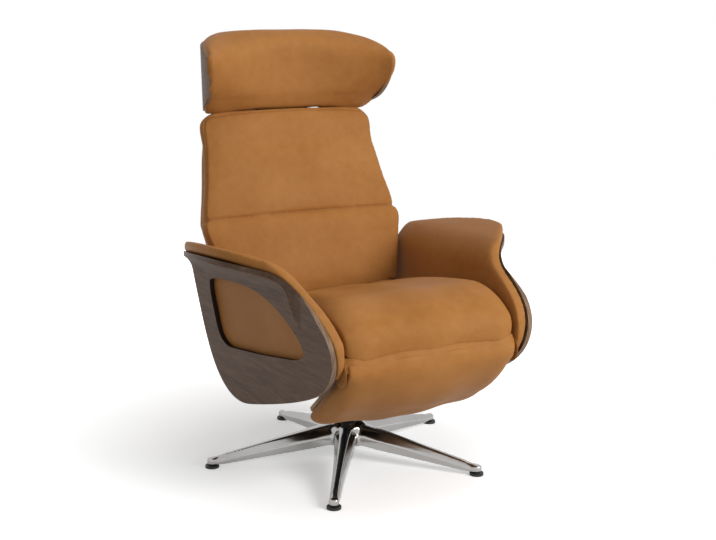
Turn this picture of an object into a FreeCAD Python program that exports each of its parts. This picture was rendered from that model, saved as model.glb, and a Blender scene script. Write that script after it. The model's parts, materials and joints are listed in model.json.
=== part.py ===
import FreeCAD, Part
import os
import Sketcher
from math import atan2, cos, hypot, radians, sin, tan

# Star base swivel recliner, in millimetres.
# The floor is z = 0, the swivel axis is z, and the sitter faces -y with the left arm at +x.

SIZES = {
    # Star base and glides
    "leg_count": 5,
    "star_turn": 2.8,
    "glide_circle": 360.0,
    "glide_radius": 18.0,
    "glide_height": 6.0,
    "stem_radius": 4.0,
    "stem_length": 12.0,
    "leg_root_reach": 36.0,
    "leg_root_width": 62.0,
    "leg_root_low": 44.0,
    "leg_root_high": 98.0,
    "leg_waist_reach": 215.0,
    "leg_waist_width": 34.0,
    "leg_waist_low": 22.0,
    "leg_waist_high": 60.0,
    "leg_tip_width": 27.0,
    "leg_tip_high": 27.0,
    "leg_tip_radius": 14.0,
    "leg_flat_share": 0.44,
    "leg_shoulder_share": 0.5,
    "hub_low": 38.0,
    "hub_high": 108.0,
    "hub_radius": 49.0,
    "hub_neck_radius": 37.0,
    # Column and swivel
    "column_radius": 22.0,
    "column_wall": 4.0,
    "column_high": 262.0,
    "bush_wall": 5.95,
    "bush_length": 36.0,
    "flange_radius": 25.0,
    "flange_height": 4.0,
    "bearing_height": 5.4,
    "spindle_radius": 12.0,
    "spindle_low": 52.0,
    "collar_height": 6.0,
    "clip_height": 2.0,
    "run_fit": 0.05,
    "seat_gap": 0.3,
    # Seat frame
    "plate_low": 290.0,
    "plate_height": 6.0,
    "plate_half_x": 115.0,
    "plate_half_y": 125.0,
    "cross_spread": 95.0,
    "cross_width": 40.0,
    "cross_height": 25.0,
    "cross_wall": 2.0,
    "bolt_radius": 4.0,
    "bolt_hole": 4.5,
    "bolt_head_radius": 6.5,
    "bolt_head_height": 5.5,
    "side_inner": 228.0,
    "side_thickness": 4.0,
    "pan_front_y": -350.0,
    "pan_front_z": 392.0,
    "pan_rear_y": 130.0,
    "pan_rear_z": 340.0,
    "pan_height": 12.0,
    "pan_half_width": 226.0,
    "ledge_width": 20.0,
    "ledge_height": 3.0,
    "front_rail_y": -325.0,
    "rail_radius": 10.0,
    "rail_wall": 2.0,
    # Legrest, in its own slanted frame that starts at the hinge
    "legrest_y": -402.0,
    "legrest_z": 365.0,
    "legrest_slope": 40.0,
    "legrest_rod_radius": 6.0,
    "legrest_bush_wall": 3.0,
    "legrest_nose": 31.0,
    "legrest_swell": 42.0,
    "legrest_length": 256.0,
    "legrest_inner": 8.0,
    "legrest_half_width": 231.0,
    "legrest_neck_half": 224.0,
    "legrest_board": 10.0,
    "legrest_board_half": 214.0,
    "clip_width": 30.0,
    "clip_metal": 3.0,
    "clip_spread": 150.0,
    # Seat cushion
    "seat_half_width": 231.0,
    "seat_crest_z": 503.0,
    "seat_crest_y": -272.0,
    "seat_rear_y": 143.0,
    "seat_rear_z": 424.0,
    "seat_nose_y": -433.0,
    "seat_nose_z": 419.0,
    "seat_lip": 4.0,
    "legrest_room": 41.5,
    "seat_crown": 9.0,
    # Back, in its own leaning frame that starts at the hinge
    "back_y": 190.0,
    "back_z": 395.0,
    "back_lean": 20.5,
    "back_front": 27.4,
    "back_rear": 7.0,
    "back_crown": 24.0,
    "back_foot": 0.0,
    "recess_high": 20.0,
    "recess_front": 19.0,
    "apron_half": 222.0,
    "back_top": 520.0,
    "back_seam": 233.0,
    "back_seam_half": 291.0,
    "back_foot_half": 259.0,
    "back_top_half": 253.0,
    "cover_depth": 56.0,
    "cover_top_depth": 42.0,
    "cover_wall": 7.0,
    "cover_foot_half": 252.0,
    "cover_seam_half": 280.0,
    "cover_top_half": 230.0,
    "frame_depth": 24.0,
    "frame_inset": 28.0,
    "frame_high": 480.0,
    "frame_low": 40.0,
    "back_rail_radius": 8.0,
    "bar_width": 32.0,
    "bar_thickness": 5.0,
    "pivot_pin_radius": 8.0,
    "pivot_tube_radius": 12.0,
    "pivot_tube_inset": 8.0,
    "bracket_thickness": 5.0,
    # Recline lock spring
    "spring_x": 60.0,
    "spring_front_y": -110.0,
    "spring_z": 270.0,
    "spring_radius": 10.0,
    "spring_wall": 3.0,
    "spring_length": 200.0,
    "spring_rod_radius": 5.0,
    "spring_pin_radius": 4.0,
    "spring_eye_width": 12.0,
    "spring_loose_fit": 3.0,
    "lever_back": 30.0,
    "lever_drop": 123.0,
    # Headrest
    "post_x": 70.0,
    "post_radius": 6.0,
    "post_depth": 15.5,
    "post_low": 330.0,
    "post_rise": 14.0,
    "guide_length": 60.0,
    "guide_half_width": 13.0,
    "hinge_fore": 15.53,
    "hinge_rise": 21.0,
    "bridge_sink": 4.25,
    "head_rod_radius": 5.0,
    "bridge_height": 9.0,
    "head_drop": 10.5,
    "head_height": 216.0,
    "head_behind": 40.0,
    "head_lean": 0.045,
    "head_flat_half": 166.0,
    "head_corner_radius": 80.0,
    "head_side_radius": 560.0,
    "head_tip_x": 271.0,
    "head_reach": 188.0,
    "head_crown": 7.0,
    "head_ply": 12.0,
    # Arms
    "arm_base_x": 263.0,
    "arm_front_y": -435.0,
    "arm_splay": 0.052,
    "arm_fall": 0.057,
    "arm_fall_y": -300.0,
    "arm_lean": 8.17,
    "arm_slope": 17.65,
    "arm_bend_out": 20.4,
    "arm_bend_z": 568.9,
    "arm_bend_radius": 62.0,
    "arm_ply": 12.0,
    "arm_pad": 28.0,
    "inset_height": 10.0,
    "inset_margin": 12.0,
    "arm_pad_low": 350.0,
    "arm_pad_inner": 235.2,
    "standoff_front_z": 324.0,
    "standoff_rear_z": 299.0,
    "standoff_height": 14.0,
    "standoff_length": 44.0,
    "standoff_front_y": -215.0,
    "standoff_rear_y": 55.0,
}


class Size:
    """A number together with the cell formula that gives it."""

    def __init__(self, value, text):
        self.value = float(value)
        self.text = text

    def join(self, sign, other, value):
        return Size(value, "(%s %s %s)" % (self.text, sign, other.text))

    def __add__(self, other):
        other = as_size(other)
        return self.join("+", other, self.value + other.value)

    def __sub__(self, other):
        other = as_size(other)
        return self.join("-", other, self.value - other.value)

    def __mul__(self, other):
        other = as_size(other)
        return self.join("*", other, self.value * other.value)

    def __truediv__(self, other):
        other = as_size(other)
        return self.join("/", other, self.value / other.value)

    def __radd__(self, other):
        return as_size(other) + self

    def __rmul__(self, other):
        return as_size(other) * self

    def __rtruediv__(self, other):
        return as_size(other) / self

    def __rsub__(self, other):
        return as_size(other) - self

    def __neg__(self):
        return as_size(0) - self

    def __float__(self):
        return self.value


def as_size(number):
    if isinstance(number, Size):
        return number
    return Size(number, "(%r)" % float(number))


def cosine(angle):
    return Size(cos(radians(angle.value)), "cos(%s)" % angle.text)


def sine(angle):
    return Size(sin(radians(angle.value)), "sin(%s)" % angle.text)


class Cells:
    """The spreadsheet's cells by their alias."""


doc = FreeCAD.newDocument("Recliner")
sheet = doc.addObject("Spreadsheet::Sheet", "Sizes")
c = Cells()
for row, (alias, number) in enumerate(SIZES.items(), start=1):
    sheet.set("A%d" % row, alias)
    sheet.set("B%d" % row, str(number))
    sheet.setAlias("B%d" % row, alias)
    setattr(c, alias, Size(number, "Sizes." + alias))
doc.recompute()

# Sizes that follow from others
lean_run = cosine(c.back_lean)
lean_rise = sine(c.back_lean)
c.frame_half = c.side_inner - c.frame_inset
c.pivot_tube_half = c.side_inner - c.pivot_tube_inset
c.post_high = c.back_top + c.post_rise
c.post_top_y = c.back_y + c.post_depth * lean_run + c.post_high * lean_rise
c.post_top_z = c.back_z - c.post_depth * lean_rise + c.post_high * lean_run
c.bridge_low = c.post_top_z - c.bridge_sink
c.head_hinge_y = c.post_top_y - c.hinge_fore
c.head_hinge_z = c.bridge_low + c.hinge_rise
c.head_low = c.head_hinge_z - c.head_drop
c.head_high = c.head_low + c.head_height
c.head_rear_y = c.head_hinge_y + c.head_behind
c.head_tip_y = c.head_rear_y - c.head_reach

X_AXIS = FreeCAD.Vector(1, 0, 0)
Y_AXIS = FreeCAD.Vector(0, 1, 0)
Z_AXIS = FreeCAD.Vector(0, 0, 1)
SIDES = (("left", 1), ("right", -1))
sub_parts = []


def vector(x, y, z):
    return FreeCAD.Vector(float(x), float(y), float(z))


def bind(item, prop, size):
    item.setExpression(prop, as_size(size).text)


def place(item, point, axis=None, angle=0):
    """Put an object at a point, turned about an axis, both tied to the cells."""
    turn = FreeCAD.Rotation()
    if axis is not None:
        turn = FreeCAD.Rotation(axis, float(angle))
    item.Placement = FreeCAD.Placement(vector(*point), turn)
    for name, coordinate in zip("xyz", point):
        if isinstance(coordinate, Size):
            bind(item, "Placement.Base." + name, coordinate)
    if isinstance(angle, Size):
        bind(item, "Placement.Rotation.Angle", angle)


def keep(item, label):
    """Name an object as one sub-part of the chair."""
    item.Label = label
    sub_parts.append(item)
    return item


# Helpers for primitives

def rod(name, radius, length, start, direction="z"):
    item = doc.addObject("Part::Cylinder", name)
    bind(item, "Radius", radius)
    bind(item, "Height", length)
    if direction == "x":
        place(item, start, Y_AXIS, 90)
    elif direction == "y":
        place(item, start, X_AXIS, -90)
    elif direction == "back":
        place(item, start, X_AXIS * -1, c.back_lean)
    else:
        place(item, start)
    return item


def block(name, low, high):
    item = doc.addObject("Part::Box", name)
    for prop, a, b in zip(("Length", "Width", "Height"), low, high):
        bind(item, prop, as_size(b) - as_size(a))
    place(item, low)
    return item


def cut(name, base, *tools):
    tool = tools[0]
    if len(tools) > 1:
        tool = doc.addObject("Part::MultiFuse", name + "_tools")
        tool.Shapes = list(tools)
    item = doc.addObject("Part::Cut", name)
    item.Base = base
    item.Tool = tool
    return item


def fuse(name, *shapes):
    item = doc.addObject("Part::MultiFuse", name)
    item.Shapes = list(shapes)
    return item


def group(name, *shapes):
    item = doc.addObject("Part::Compound", name)
    item.Links = list(shapes)
    return item


def tube(name, outer, inner, length, start, direction="z"):
    shell = rod(name + "_outside", outer, length, start, direction)
    bore = rod(name + "_inside", inner, length, start, direction)
    return cut(name, shell, bore)


def solid(name, shape):
    """A sub-part whose form comes from curves rather than from a primitive."""
    item = doc.addObject("Part::Feature", name)
    item.Shape = shape
    return item


# Helpers for bodies

def new_body(name):
    return doc.addObject("PartDesign::Body", name)


def new_sketch(body, name, role, offset=0):
    drawing = body.newObject("Sketcher::SketchObject", name)
    for feature in body.Origin.OriginFeatures:
        if feature.Role == role:
            drawing.AttachmentSupport = [(feature, "")]
    drawing.MapMode = "FlatFace"
    bind(drawing, "AttachmentOffset.Base.z", offset)
    return drawing


def hold_point(drawing, shape, end, point):
    """Tie one point of a sketch to two cell formulas."""
    for kind, coordinate in zip(("DistanceX", "DistanceY"), point):
        coordinate = as_size(coordinate)
        rule = Sketcher.Constraint(kind, -1, 1, shape, end, coordinate.value)
        number = drawing.addConstraint(rule)
        drawing.setExpression("Constraints[%d]" % number, coordinate.text)


def polygon(body, name, role, points, offset=0):
    drawing = new_sketch(body, name, role, offset)
    corners = [vector(x, y, 0) for x, y in points]
    count = len(corners)
    lines = []
    for i in range(count):
        line = Part.LineSegment(corners[i], corners[(i + 1) % count])
        lines.append(drawing.addGeometry(line, False))
    for i in range(count):
        rule = Sketcher.Constraint("Coincident", lines[i], 2, lines[(i + 1) % count], 1)
        drawing.addConstraint(rule)
    for line, point in zip(lines, points):
        hold_point(drawing, line, 1, point)
    return drawing


def circles(body, name, role, rings, offset=0):
    drawing = new_sketch(body, name, role, offset)
    for x, y, radius in rings:
        radius = as_size(radius)
        circle = Part.Circle(vector(x, y, 0), Z_AXIS, radius.value)
        shape = drawing.addGeometry(circle, False)
        hold_point(drawing, shape, 3, (x, y))
        rule = Sketcher.Constraint("Radius", shape, radius.value)
        number = drawing.addConstraint(rule)
        drawing.setExpression("Constraints[%d]" % number, radius.text)
    return drawing


def pad(body, name, drawing, length):
    item = body.newObject("PartDesign::Pad", name)
    item.Profile = drawing
    bind(item, "Length", length)
    doc.recompute()
    return item


def pocket(body, name, drawing, length):
    """Cut a sketch out of the body, the same way on both sides of its plane."""
    before = body.Shape.Volume
    item = body.newObject("PartDesign::Pocket", name)
    item.Profile = drawing
    item.SideType = "Symmetric"
    bind(item, "Length", length)
    doc.recompute()
    if body.Shape.Volume >= before:
        raise RuntimeError(name + " cuts nothing")
    return item


def round_edges(body, name, radius, choose):
    base = body.Tip
    names = ["Edge%d" % (i + 1) for i, e in enumerate(base.Shape.Edges) if choose(e)]
    item = body.newObject("PartDesign::Fillet", name)
    item.Base = (base, names)
    bind(item, "Radius", radius)
    doc.recompute()
    return item


def runs_along(axis):
    def choose(edge):
        if edge.Curve.TypeId != "Part::GeomLine":
            return False
        run = edge.Vertexes[-1].Point - edge.Vertexes[0].Point
        return abs(run.dot(axis)) > 0.999 * run.Length
    return choose


# Star base, column and swivel

def leg_section(body, name, reach, width, low, high):
    """Six-sided section of a leg, with a flat ridge and slanted shoulders."""
    shoulder = low + (high - low) * c.leg_shoulder_share
    flat = width * c.leg_flat_share
    points = [
        (-width / 2, low), (width / 2, low), (width / 2, shoulder),
        (flat / 2, high), (-flat / 2, high), (-width / 2, shoulder),
    ]
    return polygon(body, name, "YZ_Plane", points, reach)


def make_star_base():
    body = new_body("StarBase")
    root = leg_section(body, "LegRoot", c.leg_root_reach, c.leg_root_width,
                       c.leg_root_low, c.leg_root_high)
    waist = leg_section(body, "LegWaist", c.leg_waist_reach, c.leg_waist_width,
                        c.leg_waist_low, c.leg_waist_high)
    tip = leg_section(body, "LegTip", c.glide_circle, c.leg_tip_width,
                      c.glide_height, c.leg_tip_high)
    leg = body.newObject("PartDesign::AdditiveLoft", "Leg")
    leg.Profile = root
    leg.Sections = [waist, tip]
    doc.recompute()
    end = circles(body, "LegEnd", "XY_Plane", [(c.glide_circle, 0, c.leg_tip_radius)],
                  c.glide_height)
    toe = pad(body, "Toe", end, c.leg_tip_high - c.glide_height)
    pattern = body.newObject("PartDesign::PolarPattern", "Legs")
    pattern.Originals = [leg, toe]
    for feature in body.Origin.OriginFeatures:
        if feature.Role == "Z_Axis":
            pattern.Axis = (feature, [""])
    pattern.Angle = 360
    bind(pattern, "Occurrences", c.leg_count)
    body.Tip = pattern
    doc.recompute()
    profile = [
        (0, c.hub_low), (c.hub_radius, c.hub_low), (c.hub_radius, c.leg_root_high - 8),
        (c.hub_neck_radius, c.hub_high), (0, c.hub_high),
    ]
    drawing = polygon(body, "HubProfile", "XZ_Plane", profile)
    hub = body.newObject("PartDesign::Revolution", "Hub")
    hub.Profile = drawing
    hub.ReferenceAxis = (drawing, ["V_Axis"])
    hub.Angle = 360
    doc.recompute()
    bore = circles(body, "ColumnBore", "XY_Plane", [(0, 0, c.column_radius + c.run_fit)])
    pocket(body, "ColumnHole", bore, 3 * c.hub_high)
    stems = circles(body, "StemSketch", "XY_Plane",
                    [(c.glide_circle, 0, c.stem_radius + c.run_fit)], c.glide_height)
    hole = pocket(body, "StemHole", stems, 2 * (c.stem_length + 1))
    holes = body.newObject("PartDesign::PolarPattern", "StemHoles")
    holes.Originals = [hole]
    holes.Axis = pattern.Axis
    holes.Angle = 360
    bind(holes, "Occurrences", c.leg_count)
    body.Tip = holes
    place(body, (0, 0, 0), Z_AXIS, 90 + c.star_turn)
    keep(body, "star_base")


def around_star(name, radius, height, low):
    """One upright cylinder under each leg tip."""
    pieces = []
    for i in range(SIZES["leg_count"]):
        angle = 90 + c.star_turn + 360.0 * i / c.leg_count
        point = (c.glide_circle * cosine(angle), c.glide_circle * sine(angle), low)
        pieces.append(rod("%s_%d" % (name, i + 1), radius, height, point))
    return group(name + "_set", *pieces)


def make_column():
    inner = c.column_radius - c.column_wall
    keep(tube("Column", c.column_radius, inner, c.column_high - c.hub_low - 2,
              (0, 0, c.hub_low + 2)), "column_tube")
    bush_outer = inner - c.run_fit
    bush_inner = c.spindle_radius + c.run_fit
    low = tube("LowerBush", bush_outer, bush_inner, c.bush_length, (0, 0, c.hub_low + 26))
    keep(low, "lower_bush")
    sleeve = tube("Sleeve", bush_outer, bush_inner, c.bush_length,
                  (0, 0, c.column_high - c.bush_length))
    flange = tube("Flange", c.flange_radius, bush_inner, c.flange_height,
                  (0, 0, c.column_high))
    keep(fuse("UpperBush", sleeve, flange), "upper_bush")
    keep(tube("Bearing", c.flange_radius, bush_inner, c.bearing_height,
              (0, 0, c.column_high + c.flange_height)), "thrust_bearing")


def make_spindle():
    shaft = rod("SpindleShaft", c.spindle_radius, c.plate_low + c.plate_height - c.spindle_low,
                (0, 0, c.spindle_low))
    low = c.column_high + c.flange_height + c.bearing_height + c.seat_gap
    collar = rod("SpindleCollar", c.flange_radius, c.collar_height, (0, 0, low))
    groove_low = c.hub_low + 20
    groove = tube("ClipGroove", c.spindle_radius + 1, c.spindle_radius - 1.5,
                  c.clip_height + 0.1, (0, 0, groove_low))
    keep(cut("Spindle", fuse("SpindleBlank", shaft, collar), groove), "swivel_spindle")
    ring = tube("ClipRing", c.spindle_radius + 3, c.spindle_radius - 1.5 + c.run_fit,
                c.clip_height, (0, 0, groove_low + 0.05))
    mouth = block("ClipMouth", (-3, 0, groove_low - 1), (3, 2 * c.spindle_radius, groove_low + 4))
    keep(cut("SpindleClip", ring, mouth), "spindle_clip")


# Seat frame

def bolt_spots():
    x = c.plate_half_x - 20
    return [(sx * x, sy * c.cross_spread) for sx in (1, -1) for sy in (1, -1)]


def make_swivel_plate():
    body = new_body("SwivelPlate")
    x = c.plate_half_x
    y = c.plate_half_y
    sheet_metal = polygon(body, "PlateOutline", "XY_Plane",
                          [(-x, -y), (x, -y), (x, y), (-x, y)], c.plate_low)
    pad(body, "PlatePad", sheet_metal, c.plate_height)
    round_edges(body, "PlateCorners", as_size(14), runs_along(Z_AXIS))
    rings = [(0, 0, c.spindle_radius + c.run_fit)]
    rings += [(bx, by, c.bolt_hole) for bx, by in bolt_spots()]
    pocket(body, "PlateHoles", circles(body, "PlateRings", "XY_Plane", rings, c.plate_low),
           4 * c.plate_height)
    keep(body, "swivel_plate")


def make_cross_tubes():
    low = c.plate_low + c.plate_height
    for name, side in (("front", -1), ("rear", 1)):
        body = new_body("CrossTube_" + name)
        y = side * c.cross_spread
        w = c.cross_width / 2
        top = low + c.cross_height
        outer = polygon(body, name + "_outer", "YZ_Plane",
                        [(y - w, low), (y + w, low), (y + w, top), (y - w, top)],
                        -c.side_inner)
        pad(body, name + "_tube", outer, 2 * c.side_inner)
        w = w - c.cross_wall
        inner = polygon(body, name + "_inner", "YZ_Plane",
                        [(y - w, low + c.cross_wall), (y + w, low + c.cross_wall),
                         (y + w, top - c.cross_wall), (y - w, top - c.cross_wall)])
        pocket(body, name + "_bore", inner, 4 * c.side_inner)
        spots = [(bx, by, c.bolt_hole) for bx, by in bolt_spots() if side * by.value > 0]
        rings = circles(body, name + "_rings", "XY_Plane", spots, low)
        pocket(body, name + "_holes", rings, 4 * c.cross_height)
        keep(body, name + "_cross_tube")
    pieces = []
    for i, (x, y) in enumerate(bolt_spots()):
        head = rod("PlateHead%d" % i, c.bolt_head_radius, c.bolt_head_height,
                   (x, y, c.plate_low - c.bolt_head_height))
        shank = rod("PlateShank%d" % i, c.bolt_radius, low + c.cross_height + 8 - c.plate_low,
                    (x, y, c.plate_low))
        nut = rod("PlateNut%d" % i, c.bolt_head_radius, 6, (x, y, low + c.cross_height))
        pieces.append(fuse("PlateBolt%d" % i, head, shank, nut))
    keep(group("PlateBolts", *pieces), "plate_bolts")


def pan_z(y):
    """Height of the seat pan's top at a distance along the chair."""
    slope = (c.pan_rear_z - c.pan_front_z) / (c.pan_rear_y - c.pan_front_y)
    return c.pan_front_z + (y - c.pan_front_y) * slope


def make_side_plates():
    fy = c.legrest_y
    fz = c.legrest_z
    by = c.back_y
    bz = c.back_z
    low = c.plate_low + 2
    points = [
        (fy - 17, fz - 8), (fy - 17, fz + 10), (fy - 8, fz + 17), (fy + 30, fz + 19),
        (c.pan_rear_y + 10, pan_z(c.pan_rear_y + 10) - 6), (by - 30, bz - 44),
        (by - 17, bz + 4), (by - 7, bz + 15), (by + 7, bz + 15), (by + 17, bz + 4),
        (by + 18, bz - 30), (by - 34, low), (c.standoff_front_y + 60, low),
        (fy + 82, fz - 38), (fy + 30, fz - 10), (fy + 6, fz - 17), (fy - 10, fz - 17),
    ]
    rings = [
        (fy, fz, c.legrest_rod_radius + c.legrest_bush_wall + c.run_fit),
        (by, bz, c.pivot_pin_radius + c.run_fit),
        (c.standoff_front_y, c.standoff_front_z, c.bolt_hole),
        (c.standoff_rear_y, c.standoff_rear_z, c.bolt_hole),
    ]
    for name, side in SIDES:
        body = new_body("SidePlate_" + name)
        start = c.side_inner if side > 0 else -c.side_inner - c.side_thickness
        pad(body, name + "_plate", polygon(body, name + "_plate_outline", "YZ_Plane", points, start),
            c.side_thickness)
        round_edges(body, name + "_plate_corners", as_size(4), runs_along(X_AXIS))
        pocket(body, name + "_plate_holes",
               circles(body, name + "_plate_rings", "YZ_Plane", rings, start),
               4 * c.side_thickness)
        keep(body, "side_plate_" + name)


def slanted_strip(body, name, front, rear, drop, height, start, length):
    """Board that follows the seat pan's slope, a given drop below its top."""
    points = [
        (front, pan_z(front) - drop), (rear, pan_z(rear) - drop),
        (rear, pan_z(rear) - drop - height), (front, pan_z(front) - drop - height),
    ]
    return pad(body, name, polygon(body, name + "_outline", "YZ_Plane", points, start), length)


def make_seat_pan():
    body = new_body("SeatPan")
    slanted_strip(body, "PanBoard", c.pan_front_y, c.pan_rear_y, as_size(0), c.pan_height,
                  -c.pan_half_width, 2 * c.pan_half_width)
    keep(body, "seat_pan")
    strips = []
    for name, side in SIDES:
        strip = new_body("Ledge_" + name)
        start = c.side_inner - c.ledge_width if side > 0 else -c.side_inner
        slanted_strip(strip, "Ledge_%s_strip" % name, c.pan_front_y + 45, c.pan_rear_y - 10,
                      c.pan_height, c.ledge_height, start, c.ledge_width)
        strips.append(strip)
    keep(group("PanLedges", *strips), "pan_ledges")
    z = pan_z(c.front_rail_y) - c.pan_height - c.rail_radius - c.seat_gap
    keep(tube("FrontRail", c.rail_radius, c.rail_radius - c.rail_wall, 2 * c.side_inner,
              (-c.side_inner, c.front_rail_y, z), "x"), "front_rail")


# Legrest

def legrest_point(along, out):
    """A point of the legrest's slanted frame, along it and out from it, as y and z."""
    run = cosine(c.legrest_slope)
    rise = sine(c.legrest_slope)
    along = as_size(along)
    out = as_size(out)
    return (c.legrest_y + along * run - out * rise, c.legrest_z - along * rise - out * run)


def legrest_polygon(body, name, points, start, length):
    flat = [legrest_point(*point) for point in points]
    return pad(body, name, polygon(body, name + "_outline", "YZ_Plane", flat, start), length)


def legrest_section(x, swell, trim):
    """Outline of the padded legrest at one distance across the chair."""
    nose = c.legrest_nose.value
    inner = -c.legrest_inner.value
    slim = 0.5 * min(0, swell)
    back = -1.1 * nose - 0.4 * slim
    edge = -1.19 * nose - slim
    length = c.legrest_length.value - trim
    high = c.legrest_swell.value + swell

    def at(along, out):
        y, z = legrest_point(along, out)
        return vector(x, y, z)

    tip = nose + 0.35 * swell
    edges = [
        Part.Arc(at(back, inner), at(edge - 1.5, -3), at(edge, 5 + 0.5 * slim)).toShape(),
        Part.Arc(at(edge, 5 + 0.5 * slim), at(-0.62 * nose, 0.86 * nose + 0.5 * slim),
                 at(0, tip)).toShape(),
        Part.Arc(at(0, tip), at(0.28 * length, high), at(0.62 * length, high - 5)).toShape(),
        Part.Arc(at(0.62 * length, high - 5), at(0.82 * length, high - 11),
                 at(length - 14, high - 22)).toShape(),
        Part.Arc(at(length - 14, high - 22), at(length, 0.2 * high),
                 at(length - 8, inner)).toShape(),
        Part.LineSegment(at(length - 8, inner), at(back, inner)).toShape(),
    ]
    return Part.Wire(edges)


def make_legrest():
    half = c.legrest_half_width.value
    stations = [(-1.0, -10, 20), (-0.94, 1, 8), (-0.75, 7, 3), (-0.4, 13, 0), (0.0, 16, 0),
                (0.4, 13, 0), (0.75, 7, 3), (0.94, 1, 8), (1.0, -10, 20)]
    wires = [legrest_section(share * half, swell, trim) for share, swell, trim in stations]
    shape = Part.makeLoft(wires, True, False)
    slot = c.legrest_rod_radius.value + c.clip_metal.value + 0.8
    y = c.legrest_y.value
    z = c.legrest_z.value
    turn = FreeCAD.Rotation(X_AXIS, -c.legrest_slope.value)
    middle = FreeCAD.Placement(vector(0, y, z), turn)
    bore = Part.makeCylinder(slot, 2 * half + 2, vector(-half - 1, y, z), X_AXIS)
    mouth = Part.makeBox(2 * half + 2, 2 * slot, 40, vector(-half - 1, -slot, 0))
    mouth.Placement = middle.multiply(mouth.Placement)
    tools = [bore, mouth]
    for side in (1, -1):
        low = c.legrest_neck_half.value if side > 0 else -c.legrest_neck_half.value - 40
        corner = Part.makeBox(40, 74, 77, vector(low, -46, -22))
        corner.Placement = middle.multiply(corner.Placement)
        tools.append(corner)
    keep(solid("LegrestPad", shape.cut(tools)), "legrest_pad")

    board = new_body("LegrestBoard")
    half = c.legrest_board_half
    inner = c.legrest_inner + c.seat_gap
    outer = inner + c.legrest_board
    end = c.legrest_length - 22
    legrest_polygon(board, "BoardPad", [(20, -inner), (end, -inner), (end, -outer), (20, -outer)],
                    -half, 2 * half)
    keep(board, "legrest_board")

    ends = c.side_inner + c.side_thickness + 2
    keep(rod("LegrestRod", c.legrest_rod_radius, 2 * ends, (-ends, c.legrest_y, c.legrest_z), "x"),
         "legrest_rod")
    bushes = []
    bore = c.legrest_rod_radius + c.run_fit
    for name, side in SIDES:
        start = c.side_inner if side > 0 else -c.side_inner - c.side_thickness
        sleeve = tube("BushSleeve_" + name, c.legrest_rod_radius + c.legrest_bush_wall, bore,
                      c.side_thickness, (start, c.legrest_y, c.legrest_z), "x")
        lip = c.side_inner - 2 if side > 0 else -c.side_inner
        flange = tube("BushFlange_" + name, c.legrest_rod_radius + 6, bore, 2,
                      (lip, c.legrest_y, c.legrest_z), "x")
        bushes.append(fuse("Bush_" + name, sleeve, flange))
    keep(group("LegrestBushes", *bushes), "legrest_bushes")

    clips = []
    screws = []
    for i in (-1, 0, 1):
        start = i * c.clip_spread - c.clip_width / 2
        clip = new_body("Clip%d" % (i + 2))
        ring = c.legrest_rod_radius + c.clip_metal
        drawing = circles(clip, "ClipRing%d" % (i + 2), "YZ_Plane",
                          [(c.legrest_y, c.legrest_z, ring)], start)
        pad(clip, "ClipEye%d" % (i + 2), drawing, c.clip_width)
        under = outer + c.clip_metal
        legrest_polygon(clip, "ClipStrap%d" % (i + 2),
                        [(-ring, 0), (-ring, -under), (80, -under), (80, -outer),
                         (c.clip_metal - ring, -outer), (c.clip_metal - ring, 0)],
                        start, c.clip_width)
        hole = circles(clip, "ClipBore%d" % (i + 2), "YZ_Plane",
                       [(c.legrest_y, c.legrest_z, bore)], start)
        pocket(clip, "ClipHole%d" % (i + 2), hole, 4 * c.clip_width)
        clips.append(clip)
        for j, along in enumerate((40, 66)):
            y, z = legrest_point(along, -outer - c.clip_metal)
            screw = doc.addObject("Part::Cylinder", "Screw%d%d" % (i + 2, j))
            bind(screw, "Radius", as_size(5))
            bind(screw, "Height", as_size(2.4))
            place(screw, (i * c.clip_spread, y, z), X_AXIS * -1, c.legrest_slope)
            screws.append(screw)
    keep(group("LegrestClips", *clips), "legrest_clips")
    keep(group("LegrestScrews", *screws), "legrest_screw_heads")


# Seat cushion

def seat_section(x, crown, draw):
    """Side outline of the seat cushion, in a plane that follows the splay of the arms."""
    front = c.arm_front_y.value
    splay = c.arm_splay.value * 0.74 * x / c.seat_half_width.value

    def at(y, z):
        return vector(x + splay * (y - front), y, z)

    crest = c.seat_crest_z.value + crown - draw
    crest_y = c.seat_crest_y.value
    nose_y = c.seat_nose_y.value + 0.8 * draw
    rear_y = c.seat_rear_y.value - 0.4 * draw
    rear_z = c.seat_rear_z.value + crown - draw
    hinge_y = c.legrest_y.value
    hinge_z = c.legrest_z.value
    room = c.legrest_room.value
    lip_y = nose_y + c.seat_lip.value
    lip_z = hinge_z + (room ** 2 - (hinge_y - lip_y) ** 2) ** 0.5
    pan_start = hinge_y + 0.55 * room
    under = hinge_z + (room ** 2 - (pan_start - hinge_y) ** 2) ** 0.5
    pan_gap = c.seat_gap.value
    edges = [
        Part.LineSegment(at(rear_y, pan_z(rear_y).value + pan_gap), at(rear_y, rear_z - 30)).toShape(),
        Part.Arc(at(rear_y, rear_z - 30), at(rear_y - 9, rear_z - 8), at(rear_y - 32, rear_z)).toShape(),
        Part.Arc(at(rear_y - 32, rear_z), at(-90, 475 + crown - draw), at(crest_y, crest)).toShape(),
        Part.Arc(at(crest_y, crest), at(-374, crest - 18), at(nose_y + 11, 449)).toShape(),
        Part.Arc(at(nose_y + 11, 449), at(nose_y, c.seat_nose_z.value),
                 at(lip_y, lip_z)).toShape(),
        Part.Arc(at(lip_y, lip_z), at(hinge_y, hinge_z + room), at(pan_start, under)).toShape(),
        Part.LineSegment(at(pan_start, under), at(rear_y, pan_z(rear_y).value + pan_gap)).toShape(),
    ]
    return Part.Wire(edges)


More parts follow.
